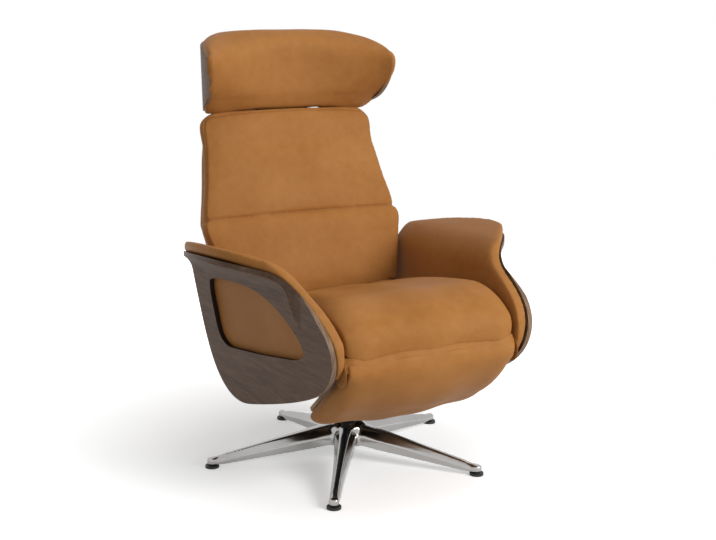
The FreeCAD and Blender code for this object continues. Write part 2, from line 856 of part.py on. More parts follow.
def make_seat_cushion():
    half = c.seat_half_width.value
    crown = c.seat_crown.value
    stations = [(-1.0, 0, 17), (-0.93, 0, 3), (-0.6, 0.8, 0), (0.0, 1.0, 0),
                (0.6, 0.8, 0), (0.93, 0, 3), (1.0, 0, 17)]
    wires = [seat_section(share * half, lift * crown, draw) for share, lift, draw in stations]
    keep(solid("SeatCushion", Part.makeLoft(wires, True, False)), "seat_cushion")


# Back

def back_point(x, depth, up):
    """A point of the leaning back frame, as x, y and z."""
    depth = as_size(depth)
    up = as_size(up)
    run = cosine(c.back_lean)
    rise = sine(c.back_lean)
    return (x, c.back_y + depth * run + up * rise, c.back_z - depth * rise + up * run)


def stand_back(item):
    place(item, (0, c.back_y, c.back_z), X_AXIS * -1, c.back_lean)


def back_frame_placement():
    turn = FreeCAD.Rotation(X_AXIS, -c.back_lean.value)
    return FreeCAD.Placement(vector(0, c.back_y, c.back_z), turn)


def back_section(up, half, crown, front, soft, rear):
    """Outline of the back cushion at one height, widest a little behind its front edge."""
    def at(x, depth):
        return vector(x, depth, up)

    tuck = 7
    edges = [
        Part.Arc(at(-half + 4, -front), at(0, -front - crown), at(half - 4, -front)).toShape(),
        Part.Arc(at(half - 4, -front), at(half, -front + soft), at(half - tuck, rear)).toShape(),
        Part.LineSegment(at(half - tuck, rear), at(-half + tuck, rear)).toShape(),
        Part.Arc(at(-half + tuck, rear), at(-half, -front + soft), at(-half + 4, -front)).toShape(),
    ]
    return Part.Wire(edges)


def make_back_cushion():
    front = c.back_front.value
    rear = c.back_rear.value
    crown = c.back_crown.value
    foot = c.back_foot.value
    top = c.back_top.value
    seam = c.back_seam.value
    wide = c.back_seam_half.value
    low_half = c.back_foot_half.value
    top_half = c.back_top_half.value
    full = front + 7
    lower = [
        (foot, low_half - 12, 0.3 * crown, full - 8, 9),
        (foot + 15, low_half - 4, 0.55 * crown, full - 3, 9),
        (foot + 34, low_half + 1, 0.75 * crown, full - 1, 9),
        (foot + 74, low_half + 12, crown, full, 9), (foot + 130, low_half + 25, crown, full, 9),
        (seam - 58, wide + 4, crown, full, 9), (seam - 24, wide + 10, 0.9 * crown, full - 1, 9),
        (seam - 4, wide + 1, 0.6 * crown, front - 1, 9),
    ]
    upper = [
        (seam + 4, wide + 1, 0.6 * crown, front - 1, 9), (seam + 30, wide - 1, 0.85 * crown, front, 9),
        (seam + 88, wide - 14, 0.9 * crown, front, 9), (seam + 160, wide - 25, 0.9 * crown, front, 9),
        (top - 58, top_half + 6, 0.8 * crown, front, 5),
        (top - 20, top_half, 0.7 * crown, front + 2, 3),
        (top, top_half - 15, 0.4 * crown, front - 6, 4),
    ]
    halves = []
    for stations in (lower, upper):
        wires = [back_section(*station, rear) for station in stations]
        halves.append(Part.makeLoft(wires, True, False))
    low_wire = back_section(lower[-1][0], wide - 4, 0.5 * crown, front - 5, 9, rear)
    high_wire = back_section(upper[0][0], wide - 4, 0.5 * crown, front - 5, 9, rear)
    neck = Part.makeLoft([low_wire, high_wire], True, True)
    shape = halves[0].fuse([neck, halves[1]])
    high = c.recess_high.value
    near = -c.recess_front.value
    side = c.apron_half.value
    tools = [Part.makeBox(4 * wide, 60, high + 20, vector(-2 * wide, near, -20))]
    for start in (side, -side - wide):
        tools.append(Part.makeBox(wide, 160, high + 20, vector(start, -120, -20)))
    item = solid("BackCushion", shape.cut(tools))
    item.Placement = back_frame_placement()
    keep(item, "back_cushion")


def cover_section(up, half, depth, corner, start):
    """Outline of the back cover at one height, with rounded rear corners."""
    def at(x, y):
        return vector(x, y, up)

    turn = corner * (1 - cos(radians(45)))
    edges = [
        Part.LineSegment(at(-half, start), at(-half, depth - corner)).toShape(),
        Part.Arc(at(-half, depth - corner), at(-half + turn, depth - turn),
                 at(-half + corner, depth)).toShape(),
        Part.LineSegment(at(-half + corner, depth), at(half - corner, depth)).toShape(),
        Part.Arc(at(half - corner, depth), at(half - turn, depth - turn),
                 at(half, depth - corner)).toShape(),
        Part.LineSegment(at(half, depth - corner), at(half, start)).toShape(),
        Part.LineSegment(at(half, start), at(-half, start)).toShape(),
    ]
    return Part.Wire(edges)


def cover_block(inset, foot):
    """Tapered block of the back cover, a given distance inside its outer faces."""
    start = c.back_rear.value + c.seat_gap.value
    seam = c.back_seam.value
    top = c.back_top.value - inset
    deep = c.cover_depth.value - inset
    thin = c.cover_top_depth.value - inset
    low = c.cover_foot_half.value - inset
    wide = c.cover_seam_half.value - inset
    high = c.cover_top_half.value - inset
    stations = [
        (foot, low, deep, 16 - inset), (seam, wide, deep, 16 - inset),
        (seam + 0.88 * (top - seam), high + 6, thin + 2, 15 - inset),
        (seam + 0.97 * (top - seam), high - 1, thin, 14 - inset),
        (top, high - 14, thin - 5, 13 - inset),
    ]
    halves = []
    for part in (stations[:2], stations[1:]):
        wires = [cover_section(*station, start) for station in part]
        halves.append(Part.makeLoft(wires, True, True))
    return halves[0].fuse(halves[1]).removeSplitter()


def make_back_cover():
    shape = cover_block(0, c.recess_high.value + 2)
    shape = shape.cut(cover_block(c.cover_wall.value, c.recess_high.value - 30))
    for name, side in SIDES:
        spot = vector(side * c.post_x.value, c.post_depth.value, c.back_top.value - 30)
        shape = shape.cut(Part.makeCylinder(c.post_radius.value + 1, 60, spot, Z_AXIS))
    item = solid("BackCover", shape)
    item.Placement = back_frame_placement()
    keep(item, "back_cover")


def coped(name, blank):
    """Fit the ends of a cross piece to the two upright tubes of the back."""
    tools = []
    for side_name, side in SIDES:
        start = back_point(side * c.frame_half, c.frame_depth, as_size(0))
        tools.append(rod("%s_cope_%s" % (name, side_name), c.back_rail_radius + c.run_fit / 2,
                         c.back_top, start, "back"))
    return cut(name, blank, *tools)


def make_back_frame():
    radius = c.back_rail_radius
    for name, side in SIDES:
        start = back_point(side * c.frame_half, c.frame_depth, c.frame_low)
        keep(tube("BackTube_" + name, radius, radius - c.rail_wall,
                  c.frame_high - c.frame_low, start, "back"), "back_tube_" + name)
        body = new_body("BackBracket_" + name)
        inner = c.frame_half + radius
        start = inner if side > 0 else -inner - c.bracket_thickness
        near = c.frame_depth - radius
        far = c.frame_depth + radius
        points = [(-16, -14), (16, -14), (far, 20), (far, 150), (near, 150), (near, 30),
                  (c.back_rear + 3, c.recess_high - 4), (-16, c.recess_high - 6)]
        pad(body, name + "_bracket", polygon(body, name + "_bracket_outline", "YZ_Plane",
                                            points, start), c.bracket_thickness)
        pocket(body, name + "_bracket_hole",
               circles(body, name + "_bracket_ring", "YZ_Plane",
                       [(0, 0, c.pivot_tube_radius + c.run_fit)], start),
               4 * c.bracket_thickness)
        stand_back(body)
        keep(body, "back_bracket_" + name)
    half = c.frame_half
    blank = rod("LowerRailBlank", radius, 2 * half, back_point(-half, c.frame_depth, 70), "x")
    keep(coped("LowerRail", blank), "back_rail_lower")
    bar = new_body("TopBar")
    high = c.frame_high - 8
    near = c.frame_depth
    outline = polygon(bar, "TopBarOutline", "XZ_Plane",
                      [(-half, high - c.bar_width), (half, high - c.bar_width), (half, high),
                       (-half, high)], -near - c.bar_thickness)
    pad(bar, "TopBarPad", outline, c.bar_thickness)
    stand_back(bar)
    keep(coped("TopRail", bar), "back_rail_top")
    half = c.pivot_tube_half
    keep(tube("PivotTube", c.pivot_tube_radius, c.pivot_pin_radius + c.run_fit, 2 * half,
              (-half, c.back_y, c.back_z), "x"), "back_pivot_tube")
    pins = []
    reach = c.side_inner + c.side_thickness
    for name, side in SIDES:
        start = reach - 42 if side > 0 else -reach
        shank = rod("PivotShank_" + name, c.pivot_pin_radius, 42, (start, c.back_y, c.back_z), "x")
        start = reach if side > 0 else -reach - 5
        head = rod("PivotHead_" + name, c.pivot_pin_radius + 5, 5, (start, c.back_y, c.back_z), "x")
        pins.append(fuse("PivotPin_" + name, shank, head))
    keep(group("PivotPins", *pins), "back_pivot_pins")


# Recline lock spring

def lever_pin():
    return (c.back_y + c.lever_back, c.back_z - c.lever_drop)


def make_back_lever():
    y, z = lever_pin()
    body = new_body("BackLever")
    eye = c.spring_eye_width / 2 + 1
    metal = c.bracket_thickness
    points = [
        (c.back_y - 16, c.back_z), (c.back_y - 10, c.back_z + 14), (c.back_y + 10, c.back_z + 14),
        (c.back_y + 17, c.back_z - 2), (y + 10, z + 4), (y + 6, z - 9), (y - 7, z - 9),
        (y - 10, z + 2),
    ]
    drawing = polygon(body, "LeverOutline", "YZ_Plane", points, c.spring_x - eye - metal)
    pad(body, "LeverPad", drawing, 2 * (eye + metal))
    fork = [(y - 30, z - 20), (y + 30, z - 20), (y + 30, z + 20), (y - 30, z + 20)]
    pocket(body, "LeverFork", polygon(body, "ForkOutline", "YZ_Plane", fork, c.spring_x), 2 * eye)
    rings = [(c.back_y, c.back_z, c.pivot_tube_radius + c.run_fit)]
    pocket(body, "LeverEye", circles(body, "LeverRing", "YZ_Plane", rings, c.spring_x),
           8 * metal + 4 * eye)
    rings = [(y, z, c.spring_pin_radius + c.run_fit)]
    pocket(body, "LeverPinHole", circles(body, "LeverPinRing", "YZ_Plane", rings, c.spring_x),
           8 * metal + 4 * eye)
    keep(body, "back_lever")
    half = eye + metal + 1
    keep(rod("RearPin", c.spring_pin_radius, 2 * half, (c.spring_x - half, y, z), "x"),
         "spring_rear_pin")


def make_spring():
    y = c.spring_front_y
    z = c.spring_z
    x = c.spring_x
    half = c.spring_eye_width / 2
    ears = []
    for i, side in enumerate((1, -1)):
        near = x + side * (half + 1)
        far = x + side * (half + 6)
        low_x = near if side > 0 else far
        high_x = far if side > 0 else near
        ears.append(block("Ear%d" % i, (low_x, y - 11, z - 10), (high_x, y + 11, c.plate_low - 3)))
    base = block("EarBase", (x - half - 6, y - 11, c.plate_low - 3), (x + half + 6, y + 11, c.plate_low))
    hole = rod("EarHole", c.spring_pin_radius + c.run_fit, 4 * half + 20, (x - 2 * half - 10, y, z), "x")
    keep(cut("SpringBracket", fuse("SpringBracketBlank", base, *ears), hole), "spring_bracket")
    keep(rod("FrontPin", c.spring_pin_radius, 2 * half + 14, (x - half - 7, y, z), "x"),
         "spring_front_pin")

    eye = rod("CylinderEye", c.spring_radius - 1, 2 * half, (x - half, y, z), "x")
    stalk = rod("Stalk", c.spring_rod_radius - 0.5, 20, (x, y + 5, z), "y")
    barrel = rod("Barrel", c.spring_radius, c.spring_length - 13, (x, y + 13, z), "y")
    room = rod("BarrelRoom", c.spring_radius - c.spring_wall, c.spring_length - 33,
               (x, y + 25, z), "y")
    neck = rod("BarrelNeck", c.spring_rod_radius + c.run_fit, c.spring_length, (x, y + 30, z), "y")
    hole = rod("CylinderHole", c.spring_pin_radius + c.run_fit, 4 * half, (x - 2 * half, y, z), "x")
    keep(cut("SpringCylinder", fuse("SpringBlank", eye, stalk, barrel), room, neck, hole),
         "spring_cylinder")

    pin_y, pin_z = lever_pin()
    start = y + 0.62 * c.spring_length
    loose = c.spring_pin_radius + c.spring_loose_fit
    shaft = rod("SpringShaft", c.spring_rod_radius, pin_y - start - loose - 2, (x, start, z), "y")
    piston = rod("Piston", c.spring_radius - c.spring_wall - c.run_fit, 12, (x, start, z), "y")
    eye = rod("RodEye", loose + 5, 2 * half, (x - half, pin_y, z), "x")
    hole = rod("RodHole", loose, 4 * half, (x - 2 * half, pin_y, z), "x")
    keep(cut("SpringRod", fuse("RodBlank", shaft, piston, eye), hole), "spring_rod")


# Headrest

def head_curve(inset):
    """Edges of the headrest shell's plan outline, with its left and right tips."""
    r1 = c.head_corner_radius.value
    r2 = c.head_side_radius.value
    x1 = c.head_flat_half.value
    y1 = c.head_rear_y.value - r1
    tip_x = c.head_tip_x.value
    tip_y = c.head_tip_y.value
    run_x = tip_x - x1
    run_y = tip_y - y1
    reach = hypot(run_x, run_y)
    along = (reach ** 2 + (r2 - r1) ** 2 - r2 ** 2) / (2 * reach)
    off = ((r2 - r1) ** 2 - along ** 2) ** 0.5
    x2 = x1 + (run_x * along + run_y * off) / reach
    y2 = y1 + (run_y * along - run_x * off) / reach
    a1 = atan2(y1 - y2, x1 - x2)
    a2 = atan2(tip_y - y2, tip_x - x2)

    def spot(x, y, radius, angle, side):
        return vector(side * (x + (radius - inset) * cos(angle)), y + (radius - inset) * sin(angle), 0)

    edges = []
    for side in (1, -1):
        tip = spot(x2, y2, r2, a2, side)
        middle = spot(x2, y2, r2, (a1 + a2) / 2, side)
        join = spot(x2, y2, r2, a1, side)
        bend = spot(x1, y1, r1, (a1 + radians(90)) / 2, side)
        flat = spot(x1, y1, r1, radians(90), side)
        pair = [Part.Arc(tip, middle, join).toShape(), Part.Arc(join, bend, flat).toShape()]
        edges.append((tip, flat, pair))
    tip_a, flat_a, pair_a = edges[0]
    tip_b, flat_b, pair_b = edges[1]
    back = Part.LineSegment(flat_a, flat_b).toShape()
    return tip_a, tip_b, pair_a + [back] + list(reversed(pair_b))


def head_band(inset_a, inset_b):
    """Upright sheet between two insets of the shell's outline."""
    tip_a, tip_b, outer = head_curve(inset_a)
    tip_c, tip_d, inner = head_curve(inset_b)
    caps = [Part.LineSegment(tip_b, tip_d).toShape(), Part.LineSegment(tip_c, tip_a).toShape()]
    edges = outer + [caps[0]] + inner + [caps[1]]
    wire = Part.Wire(Part.__sortEdges__(edges))
    face = Part.Face(wire)
    low = c.head_low.value - 30
    tall = c.head_high.value - low + 40
    face.translate(vector(0, 0, low))
    return face.extrude(vector(0, tall * c.head_lean.value, tall))


HEAD_WING = ((28, 0.0), (62, 0.04), (128, 0.155), (166, 0.33), (187, 0.55), (186, 0.65), (166, 0.74),
             (129, 0.835), (91, 0.905), (46, 0.95), (-14, 0.97))
HEAD_PLANS = (
    (0.010, -53, 42, 54, 160), (0.052, -40, 66, 71, 170), (0.157, -27, 130, 82, 176),
    (0.324, -20, 174, 86, 180), (0.519, -17, 198, 88, 182), (0.639, -17, 198, 91, 182),
    (0.731, -21, 176, 94, 178), (0.824, -37, 134, 93, 170), (0.880, -53, 108, 90, 164),
    (0.925, -71, 86, 83, 158), (0.960, -92, 67, 72, 150), (0.984, -113, 50, 57, 141),
    (0.996, -130, 38, 42, 133),
)
# Longer than any piece, for the blocks that cut one
FAR = 900.0
HEAD_ARCH = ((0, 0), (70, 1), (125, 5), (170, 11), (205, 19), (235, 31), (255, 48), (272, 80))


def head_wing_prism(margin):
    """Everything behind the curved front edges of the headrest's wings."""
    low = c.head_low.value
    tall = c.head_high.value - low
    rear = c.head_rear_y.value + 20
    half = 400.0
    points = [vector(-half, rear - 20 - reach - margin, low + share * tall)
              for reach, share in HEAD_WING]
    curve = Part.BSplineCurve()
    curve.interpolate(points)
    first = vector(-half, rear, low)
    last = vector(-half, rear, low + tall)
    edges = [curve.toShape(), Part.LineSegment(points[-1], last).toShape(),
             Part.LineSegment(last, first).toShape(), Part.LineSegment(first, points[0]).toShape()]
    return Part.Face(Part.Wire(edges)).extrude(vector(2 * half, 0, 0))


def head_arch_prism(drop):
    """Everything under the headrest's arched top edge, lowered by a drop."""
    top = c.head_high.value - drop
    right = [vector(x, 0, top - fall) for x, fall in HEAD_ARCH]
    left = [vector(-x, 0, top - fall) for x, fall in HEAD_ARCH[:0:-1]]
    curve = Part.BSplineCurve()
    curve.interpolate(left + right)
    first = left[0]
    last = right[-1]
    low_left = vector(first.x, 0, top - FAR)
    low_right = vector(last.x, 0, top - FAR)
    edges = [curve.toShape(), Part.LineSegment(last, low_right).toShape(),
             Part.LineSegment(low_right, low_left).toShape(),
             Part.LineSegment(low_left, first).toShape()]
    return Part.Face(Part.Wire(edges)).extrude(vector(0, FAR, 0))


def head_section(z, beyond, tip_reach, front_reach, rear_half):
    """Plan outline of the headrest cushion at one height."""
    rear = c.head_rear_y.value - c.head_ply.value + 6
    tip_x = c.head_tip_x.value + beyond
    tip_y = c.head_rear_y.value - tip_reach - 1
    front_y = c.head_rear_y.value - front_reach

    def at(x, y):
        return vector(x, y, z)

    edges = [Part.Arc(at(-tip_x, tip_y), at(0, front_y), at(tip_x, tip_y)).toShape()]
    corner = []
    for side in (1, -1):
        tip = at(side * tip_x, tip_y)
        cheek = at(side * (tip_x + 16), tip_y + 22)
        round_tip = at(side * (tip_x + 11), tip_y + 6)
        heel = at(side * rear_half, rear)
        bulge = at(side * (0.5 * (tip_x + 16 + rear_half) + 12), 0.5 * (tip_y + 22 + rear) + 14)
        corner.append((heel, [Part.Arc(tip, round_tip, cheek).toShape(),
                              Part.Arc(cheek, bulge, heel).toShape()]))
    edges += corner[0][1]
    edges.append(Part.LineSegment(corner[0][0], corner[1][0]).toShape())
    edges += corner[1][1]
    return Part.Wire(Part.__sortEdges__(edges))


def make_headrest():
    shell = head_band(0, c.head_ply.value).common(head_wing_prism(0))
    shell = shell.common(head_arch_prism(c.head_crown.value))
    keep(solid("HeadrestShell", shell), "headrest_shell")
    low = c.head_low.value
    tall = c.head_high.value - low
    wires = [head_section(low + share * tall, x, y, f, r) for share, x, y, f, r in HEAD_PLANS]
    shape = Part.makeLoft(wires, True, False)
    gap = c.head_ply.value + c.seat_gap.value
    shape = shape.cut(head_band(-200, gap)).common(head_arch_prism(0))
    hy = c.head_hinge_y.value
    hz = c.head_hinge_z.value
    rear = c.head_rear_y.value - c.head_ply.value
    room = Part.makeBox(200, rear - hy + 25, hz + 14 - low + 20, vector(-100, hy - 18, low - 20))
    keep(solid("HeadrestCushion", shape.cut(room)), "headrest_cushion")

    posts = []
    guides = []
    for name, side in SIDES:
        start = back_point(side * c.post_x, c.post_depth, c.post_low)
        posts.append(rod("Post_" + name, c.post_radius, c.post_high - c.post_low, start, "back"))
        body = new_body("Guide_" + name)
        x = side * c.post_x
        w = c.guide_half_width
        near = c.back_rear + 2 * c.seat_gap
        far = c.frame_depth
        high = c.frame_high + 10
        outline = polygon(body, name + "_guide_outline", "XY_Plane",
                          [(x - w, near), (x + w, near), (x + w, far), (x - w, far)],
                          high - c.guide_length)
        pad(body, name + "_guide_pad", outline, c.guide_length)
        ring = circles(body, name + "_guide_ring", "XY_Plane",
                       [(x, c.post_depth, c.post_radius + c.run_fit)], high)
        pocket(body, name + "_guide_hole", ring, 4 * c.guide_length)
        stand_back(body)
        guides.append(body)
    keep(group("HeadrestPosts", *posts), "headrest_posts")
    keep(group("HeadrestGuides", *guides), "headrest_guides")

    half = c.post_x + 12
    bar = block("BridgeBar", (-half, c.head_hinge_y - 10, c.bridge_low),
                (half, c.post_top_y + 10, c.bridge_low + c.bridge_height))
    parts = [bar]
    for i, side in enumerate((1, -1)):
        inner = side * (c.post_x - 20)
        outer = side * (c.post_x - 14)
        low_x = inner if side > 0 else outer
        high_x = outer if side > 0 else inner
        parts.append(block("BridgeEar%d" % i,
                           (low_x, c.head_hinge_y - 9, c.bridge_low + c.bridge_height),
                           (high_x, c.head_hinge_y + 9, c.head_hinge_z + 9)))
    sockets = []
    for name, side in SIDES:
        start = back_point(side * c.post_x, c.post_depth, c.post_low)
        sockets.append(rod("Socket_" + name, c.post_radius + c.run_fit,
                           c.post_high - c.post_low + 1, start, "back"))
    hole = rod("BridgeHole", c.head_rod_radius + c.run_fit, 4 * c.post_x,
               (-2 * c.post_x, c.head_hinge_y, c.head_hinge_z), "x")
    keep(cut("Bridge", fuse("BridgeBlank", *parts), hole, *sockets), "headrest_bridge")
    keep(rod("HeadRod", c.head_rod_radius, 2 * (c.post_x + 18),
             (-c.post_x - 18, c.head_hinge_y, c.head_hinge_z), "x"), "headrest_hinge_rod")

    knuckles = []
    for i, side in enumerate((1, -1)):
        inner = side * (c.post_x - 12)
        outer = side * (c.post_x + 16)
        low_x = inner if side > 0 else outer
        high_x = outer if side > 0 else inner
        barrel = rod("KnuckleBarrel%d" % i, c.head_rod_radius + 6, high_x - low_x,
                     (low_x, c.head_hinge_y, c.head_hinge_z), "x")
        wall_y = c.head_rear_y + c.head_lean * (c.head_hinge_z + 20 - c.head_low) - c.head_ply
        arm = block("KnuckleArm%d" % i, (low_x, c.head_hinge_y, c.head_hinge_z - 4),
                    (high_x, wall_y - 3, c.head_hinge_z + 4))
        leaf = block("KnuckleLeaf%d" % i, (low_x, wall_y - 4, c.head_hinge_z - 10),
                     (high_x, wall_y, c.head_hinge_z + 13))
        bore = rod("KnuckleBore%d" % i, c.head_rod_radius + c.run_fit, high_x - low_x,
                   (low_x, c.head_hinge_y, c.head_hinge_z), "x")
        knuckles.append(cut("Knuckle%d" % i, fuse("KnuckleBlank%d" % i, barrel, arm, leaf), bore))
    keep(group("HeadrestKnuckles", *knuckles), "headrest_knuckles")


# Arms

def arm_strip(inner, outer):
    """Bent sheet of the left arm between two distances outside its inner face."""
    y = c.arm_front_y.value - 30
    base = c.arm_base_x.value + c.arm_splay.value * (y - c.arm_front_y.value)
    lift = -c.arm_fall.value * (y - c.arm_fall_y.value)
    lean = radians(c.arm_lean.value)
    slope = radians(c.arm_slope.value)
    radius = c.arm_bend_radius.value
    up = FreeCAD.Vector(sin(lean), 0, cos(lean))
    over = FreeCAD.Vector(cos(slope), 0, sin(slope))
    out_low = FreeCAD.Vector(cos(lean), 0, -sin(lean))
    out_high = FreeCAD.Vector(sin(slope), 0, -cos(slope))
    out_mid = (out_low + out_high).normalize()
    knee = FreeCAD.Vector(base + c.arm_bend_out.value, y, c.arm_bend_z.value + lift)
    tangent = radius * tan((radians(90) - lean - slope) / 2)
    centre = knee - up * tangent + out_low * radius
    foot = knee - up * 480
    lip = knee + over * 170

    def side(distance):
        reach = radius - distance
        return (foot + out_low * distance, centre - out_low * reach, centre - out_mid * reach,
                centre - out_high * reach, lip + out_high * distance)

    a = side(inner)
    b = side(outer)
    edges = [
        Part.LineSegment(a[0], a[1]).toShape(), Part.Arc(a[1], a[2], a[3]).toShape(),
        Part.LineSegment(a[3], a[4]).toShape(), Part.LineSegment(a[4], b[4]).toShape(),
        Part.LineSegment(b[4], b[3]).toShape(), Part.Arc(b[3], b[2], b[1]).toShape(),
        Part.LineSegment(b[1], b[0]).toShape(), Part.LineSegment(b[0], a[0]).toShape(),
    ]
    length = 780.0
    along = FreeCAD.Vector(c.arm_splay.value, 1, -c.arm_fall.value) * length
    return Part.Face(Part.Wire(edges)).extrude(along)


ARM_FRONT = ((-205, 640), (-228, 600), (-262, 565), (-339, 519), (-400, 478), (-432, 432),
             (-430, 386), (-402, 343))
ARM_UNDER = ((-330, 295), (-160, 231), (10, 182), (82, 169), (144, 180), (197, 223), (227, 288),
             (244, 382), (255, 500), (260, 570), (262, 640))
ARM_PLAN = ((285, -310), (316, -238), (366, -180), (399, -125), (411, -50), (409, 30),
            (396, 110), (373, 190), (346, 258), (325, 302))
ARM_WINDOW = ((146, 488), (113, 496), (50, 503), (-30, 508), (-94, 506), (-151, 496),
              (-200, 480), (-243, 459), (-278, 435), (-303, 408), (-306, 391), (-288, 377),
              (-209, 358), (-125, 344), (-26, 330), (70, 318), (120, 319), (143, 334),
              (155, 367), (160, 420), (160, 465))


def smooth_edge(points, closed=False):
    curve = Part.BSplineCurve()
    curve.interpolate(points, PeriodicFlag=closed)
    return curve.toShape()


def arm_side_prism(outline):
    """Everything inside the arm's leaf-shaped side outline."""
    points = [vector(150, y, z) for y, z in outline]
    edges = [smooth_edge(points), Part.LineSegment(points[-1], points[0]).toShape()]
    return Part.Face(Part.Wire(edges)).extrude(vector(350, 0, 0))


def arm_plan_prism():
    """Everything inside the arm's top edge, seen from above."""
    points = [vector(x, y, 100) for x, y in ARM_PLAN]
    rear = vector(150, ARM_PLAN[-1][1], 100)
    front_in = vector(150, ARM_PLAN[0][1] - 200, 100)
    front_out = vector(ARM_PLAN[0][0], ARM_PLAN[0][1] - 200, 100)
    edges = [smooth_edge(points)]
    corners = [points[-1], rear, front_in, front_out, points[0]]
    for a, b in zip(corners, corners[1:]):
        edges.append(Part.LineSegment(a, b).toShape())
    return Part.Face(Part.Wire(edges)).extrude(vector(0, 0, 600))


def window_prism(margin):
    """The window of the arm, grown by a margin all round."""
    centre_y = sum(y for y, z in ARM_WINDOW) / len(ARM_WINDOW)
    centre_z = sum(z for y, z in ARM_WINDOW) / len(ARM_WINDOW)
    points = []
    for y, z in ARM_WINDOW:
        reach = hypot(y - centre_y, z - centre_z)
        grow_y = (y - centre_y) / reach * margin
        grow_z = (1 if z > centre_z else -1) * margin
        points.append(vector(150, y + grow_y, z + grow_z))
    return Part.Face(Part.Wire([smooth_edge(points, True)])).extrude(vector(350, 0, 0))


def mirrored(label, shape):
    """Keep a shape of the left arm, and its mirror image as the right one."""
    left = solid(label.title().replace("_", "") + "Left", shape)
    keep(left, label + "_left")
    right = doc.addObject("Part::Mirroring", label.title().replace("_", "") + "Right")
    right.Source = left
    right.Base = (0, 0, 0)
    right.Normal = (1, 0, 0)
    keep(right, label + "_right")


def make_arms():
    outline = arm_side_prism(ARM_FRONT + ARM_UNDER).common(arm_plan_prism())
    ply = c.arm_ply.value
    shell = arm_strip(0, ply).common(outline).cut(window_prism(0))
    gap = c.seat_gap.value
    spots = ((c.standoff_front_y.value, c.standoff_front_z.value),
             (c.standoff_rear_y.value, c.standoff_rear_z.value))
    side_outer = c.side_inner.value + c.side_thickness.value
    beyond_face = arm_strip(-gap, 260)
    standoffs = []
    bolts = []
    for y, middle_z in spots:
        length = c.standoff_length.value
        tall = c.standoff_height.value
        box = Part.makeBox(90, length, tall, vector(side_outer, y - length / 2, middle_z - tall / 2))
        hole = Part.makeCylinder(c.bolt_hole.value, 100, vector(side_outer - 1, y, middle_z), X_AXIS)
        standoff = box.cut(beyond_face).cut(hole)
        standoffs.append(standoff)
        end = standoff.BoundBox.XMax + 7
        head = Part.makeCylinder(c.bolt_head_radius.value, c.bolt_head_height.value,
                                 vector(c.side_inner.value - c.bolt_head_height.value, y, middle_z),
                                 X_AXIS)
        start = c.side_inner.value
        shank = Part.makeCylinder(c.bolt_radius.value, end - start, vector(start, y, middle_z), X_AXIS)
        bolts.append(head.fuse(shank))
        nut = Part.makeCylinder(c.bolt_radius.value + c.run_fit.value, end + 0.5 - start,
                                vector(start, y, middle_z), X_AXIS)
        shell = shell.cut(nut)
    mirrored("arm_shell", shell)
    mirrored("arm_standoffs", Part.makeCompound(standoffs))
    mirrored("arm_bolts", Part.makeCompound(bolts))
    inset = arm_strip(-gap - c.inset_height.value, -gap)
    inset = inset.common(window_prism(c.inset_margin.value)).common(outline)
    mirrored("arm_inset", inset)
    pocket_room = arm_strip(-2 * gap - c.inset_height.value, 20)
    pocket_room = pocket_room.common(window_prism(c.inset_margin.value + gap))
    low = c.arm_pad_low.value
    above = Part.makeBox(FAR, FAR, FAR, vector(0, -FAR / 2, low))
    seat_side = Part.makeBox(c.arm_pad_inner.value, FAR, FAR, vector(0, -FAR / 2, low))
    lining = arm_strip(-c.arm_pad.value, -gap).common(outline).common(above)
    lining = lining.cut([pocket_room, seat_side])
    mirrored("arm_pad", lining)


make_star_base()
keep(around_star("Glide", c.glide_radius, c.glide_height, 0), "foot_glides")
keep(around_star("Stem", c.stem_radius, c.stem_length, c.glide_height), "glide_stems")
make_column()
make_spindle()
make_swivel_plate()
make_cross_tubes()
make_side_plates()
make_seat_pan()
make_legrest()
make_seat_cushion()
make_back_cushion()
make_back_cover()
make_back_frame()
make_back_lever()
make_spring()
make_headrest()
make_arms()
doc.recompute()

for item in doc.Objects:
    if "Invalid" in item.State or "Error" in item.State:
        raise RuntimeError("%s is %s" % (item.Name, item.State))
for item in sub_parts:
    if item.Shape.isNull() or not item.Shape.isValid() or not item.Shape.Solids:
        raise RuntimeError("%s has no valid solid" % item.Label)

os.makedirs("parts", exist_ok=True)
for item in sub_parts:
    item.Shape.exportStep("parts/%s.step" % item.Label)
print(len(sub_parts), "sub-parts")
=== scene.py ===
import json
import math

import bmesh
import bpy
import numpy as np
from mathutils import Matrix, Vector
from mathutils.bvhtree import BVHTree
from mathutils.kdtree import KDTree


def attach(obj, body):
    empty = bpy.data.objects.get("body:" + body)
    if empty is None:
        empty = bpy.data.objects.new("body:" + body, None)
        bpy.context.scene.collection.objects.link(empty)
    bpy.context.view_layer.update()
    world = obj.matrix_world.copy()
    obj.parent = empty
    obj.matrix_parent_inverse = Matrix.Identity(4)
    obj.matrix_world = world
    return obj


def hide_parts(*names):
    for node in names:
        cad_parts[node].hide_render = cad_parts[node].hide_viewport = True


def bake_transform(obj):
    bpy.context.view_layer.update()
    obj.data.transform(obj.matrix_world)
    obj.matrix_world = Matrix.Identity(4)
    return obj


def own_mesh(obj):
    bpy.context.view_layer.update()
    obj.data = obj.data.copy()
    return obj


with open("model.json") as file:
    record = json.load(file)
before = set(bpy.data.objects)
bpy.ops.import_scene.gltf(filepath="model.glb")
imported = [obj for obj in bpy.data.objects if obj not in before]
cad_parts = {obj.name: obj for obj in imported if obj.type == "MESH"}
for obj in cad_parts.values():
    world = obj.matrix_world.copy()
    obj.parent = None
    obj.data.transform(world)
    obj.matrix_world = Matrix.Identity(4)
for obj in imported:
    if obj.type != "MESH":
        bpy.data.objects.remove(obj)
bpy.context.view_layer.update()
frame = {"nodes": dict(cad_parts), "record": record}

MM = 0.001

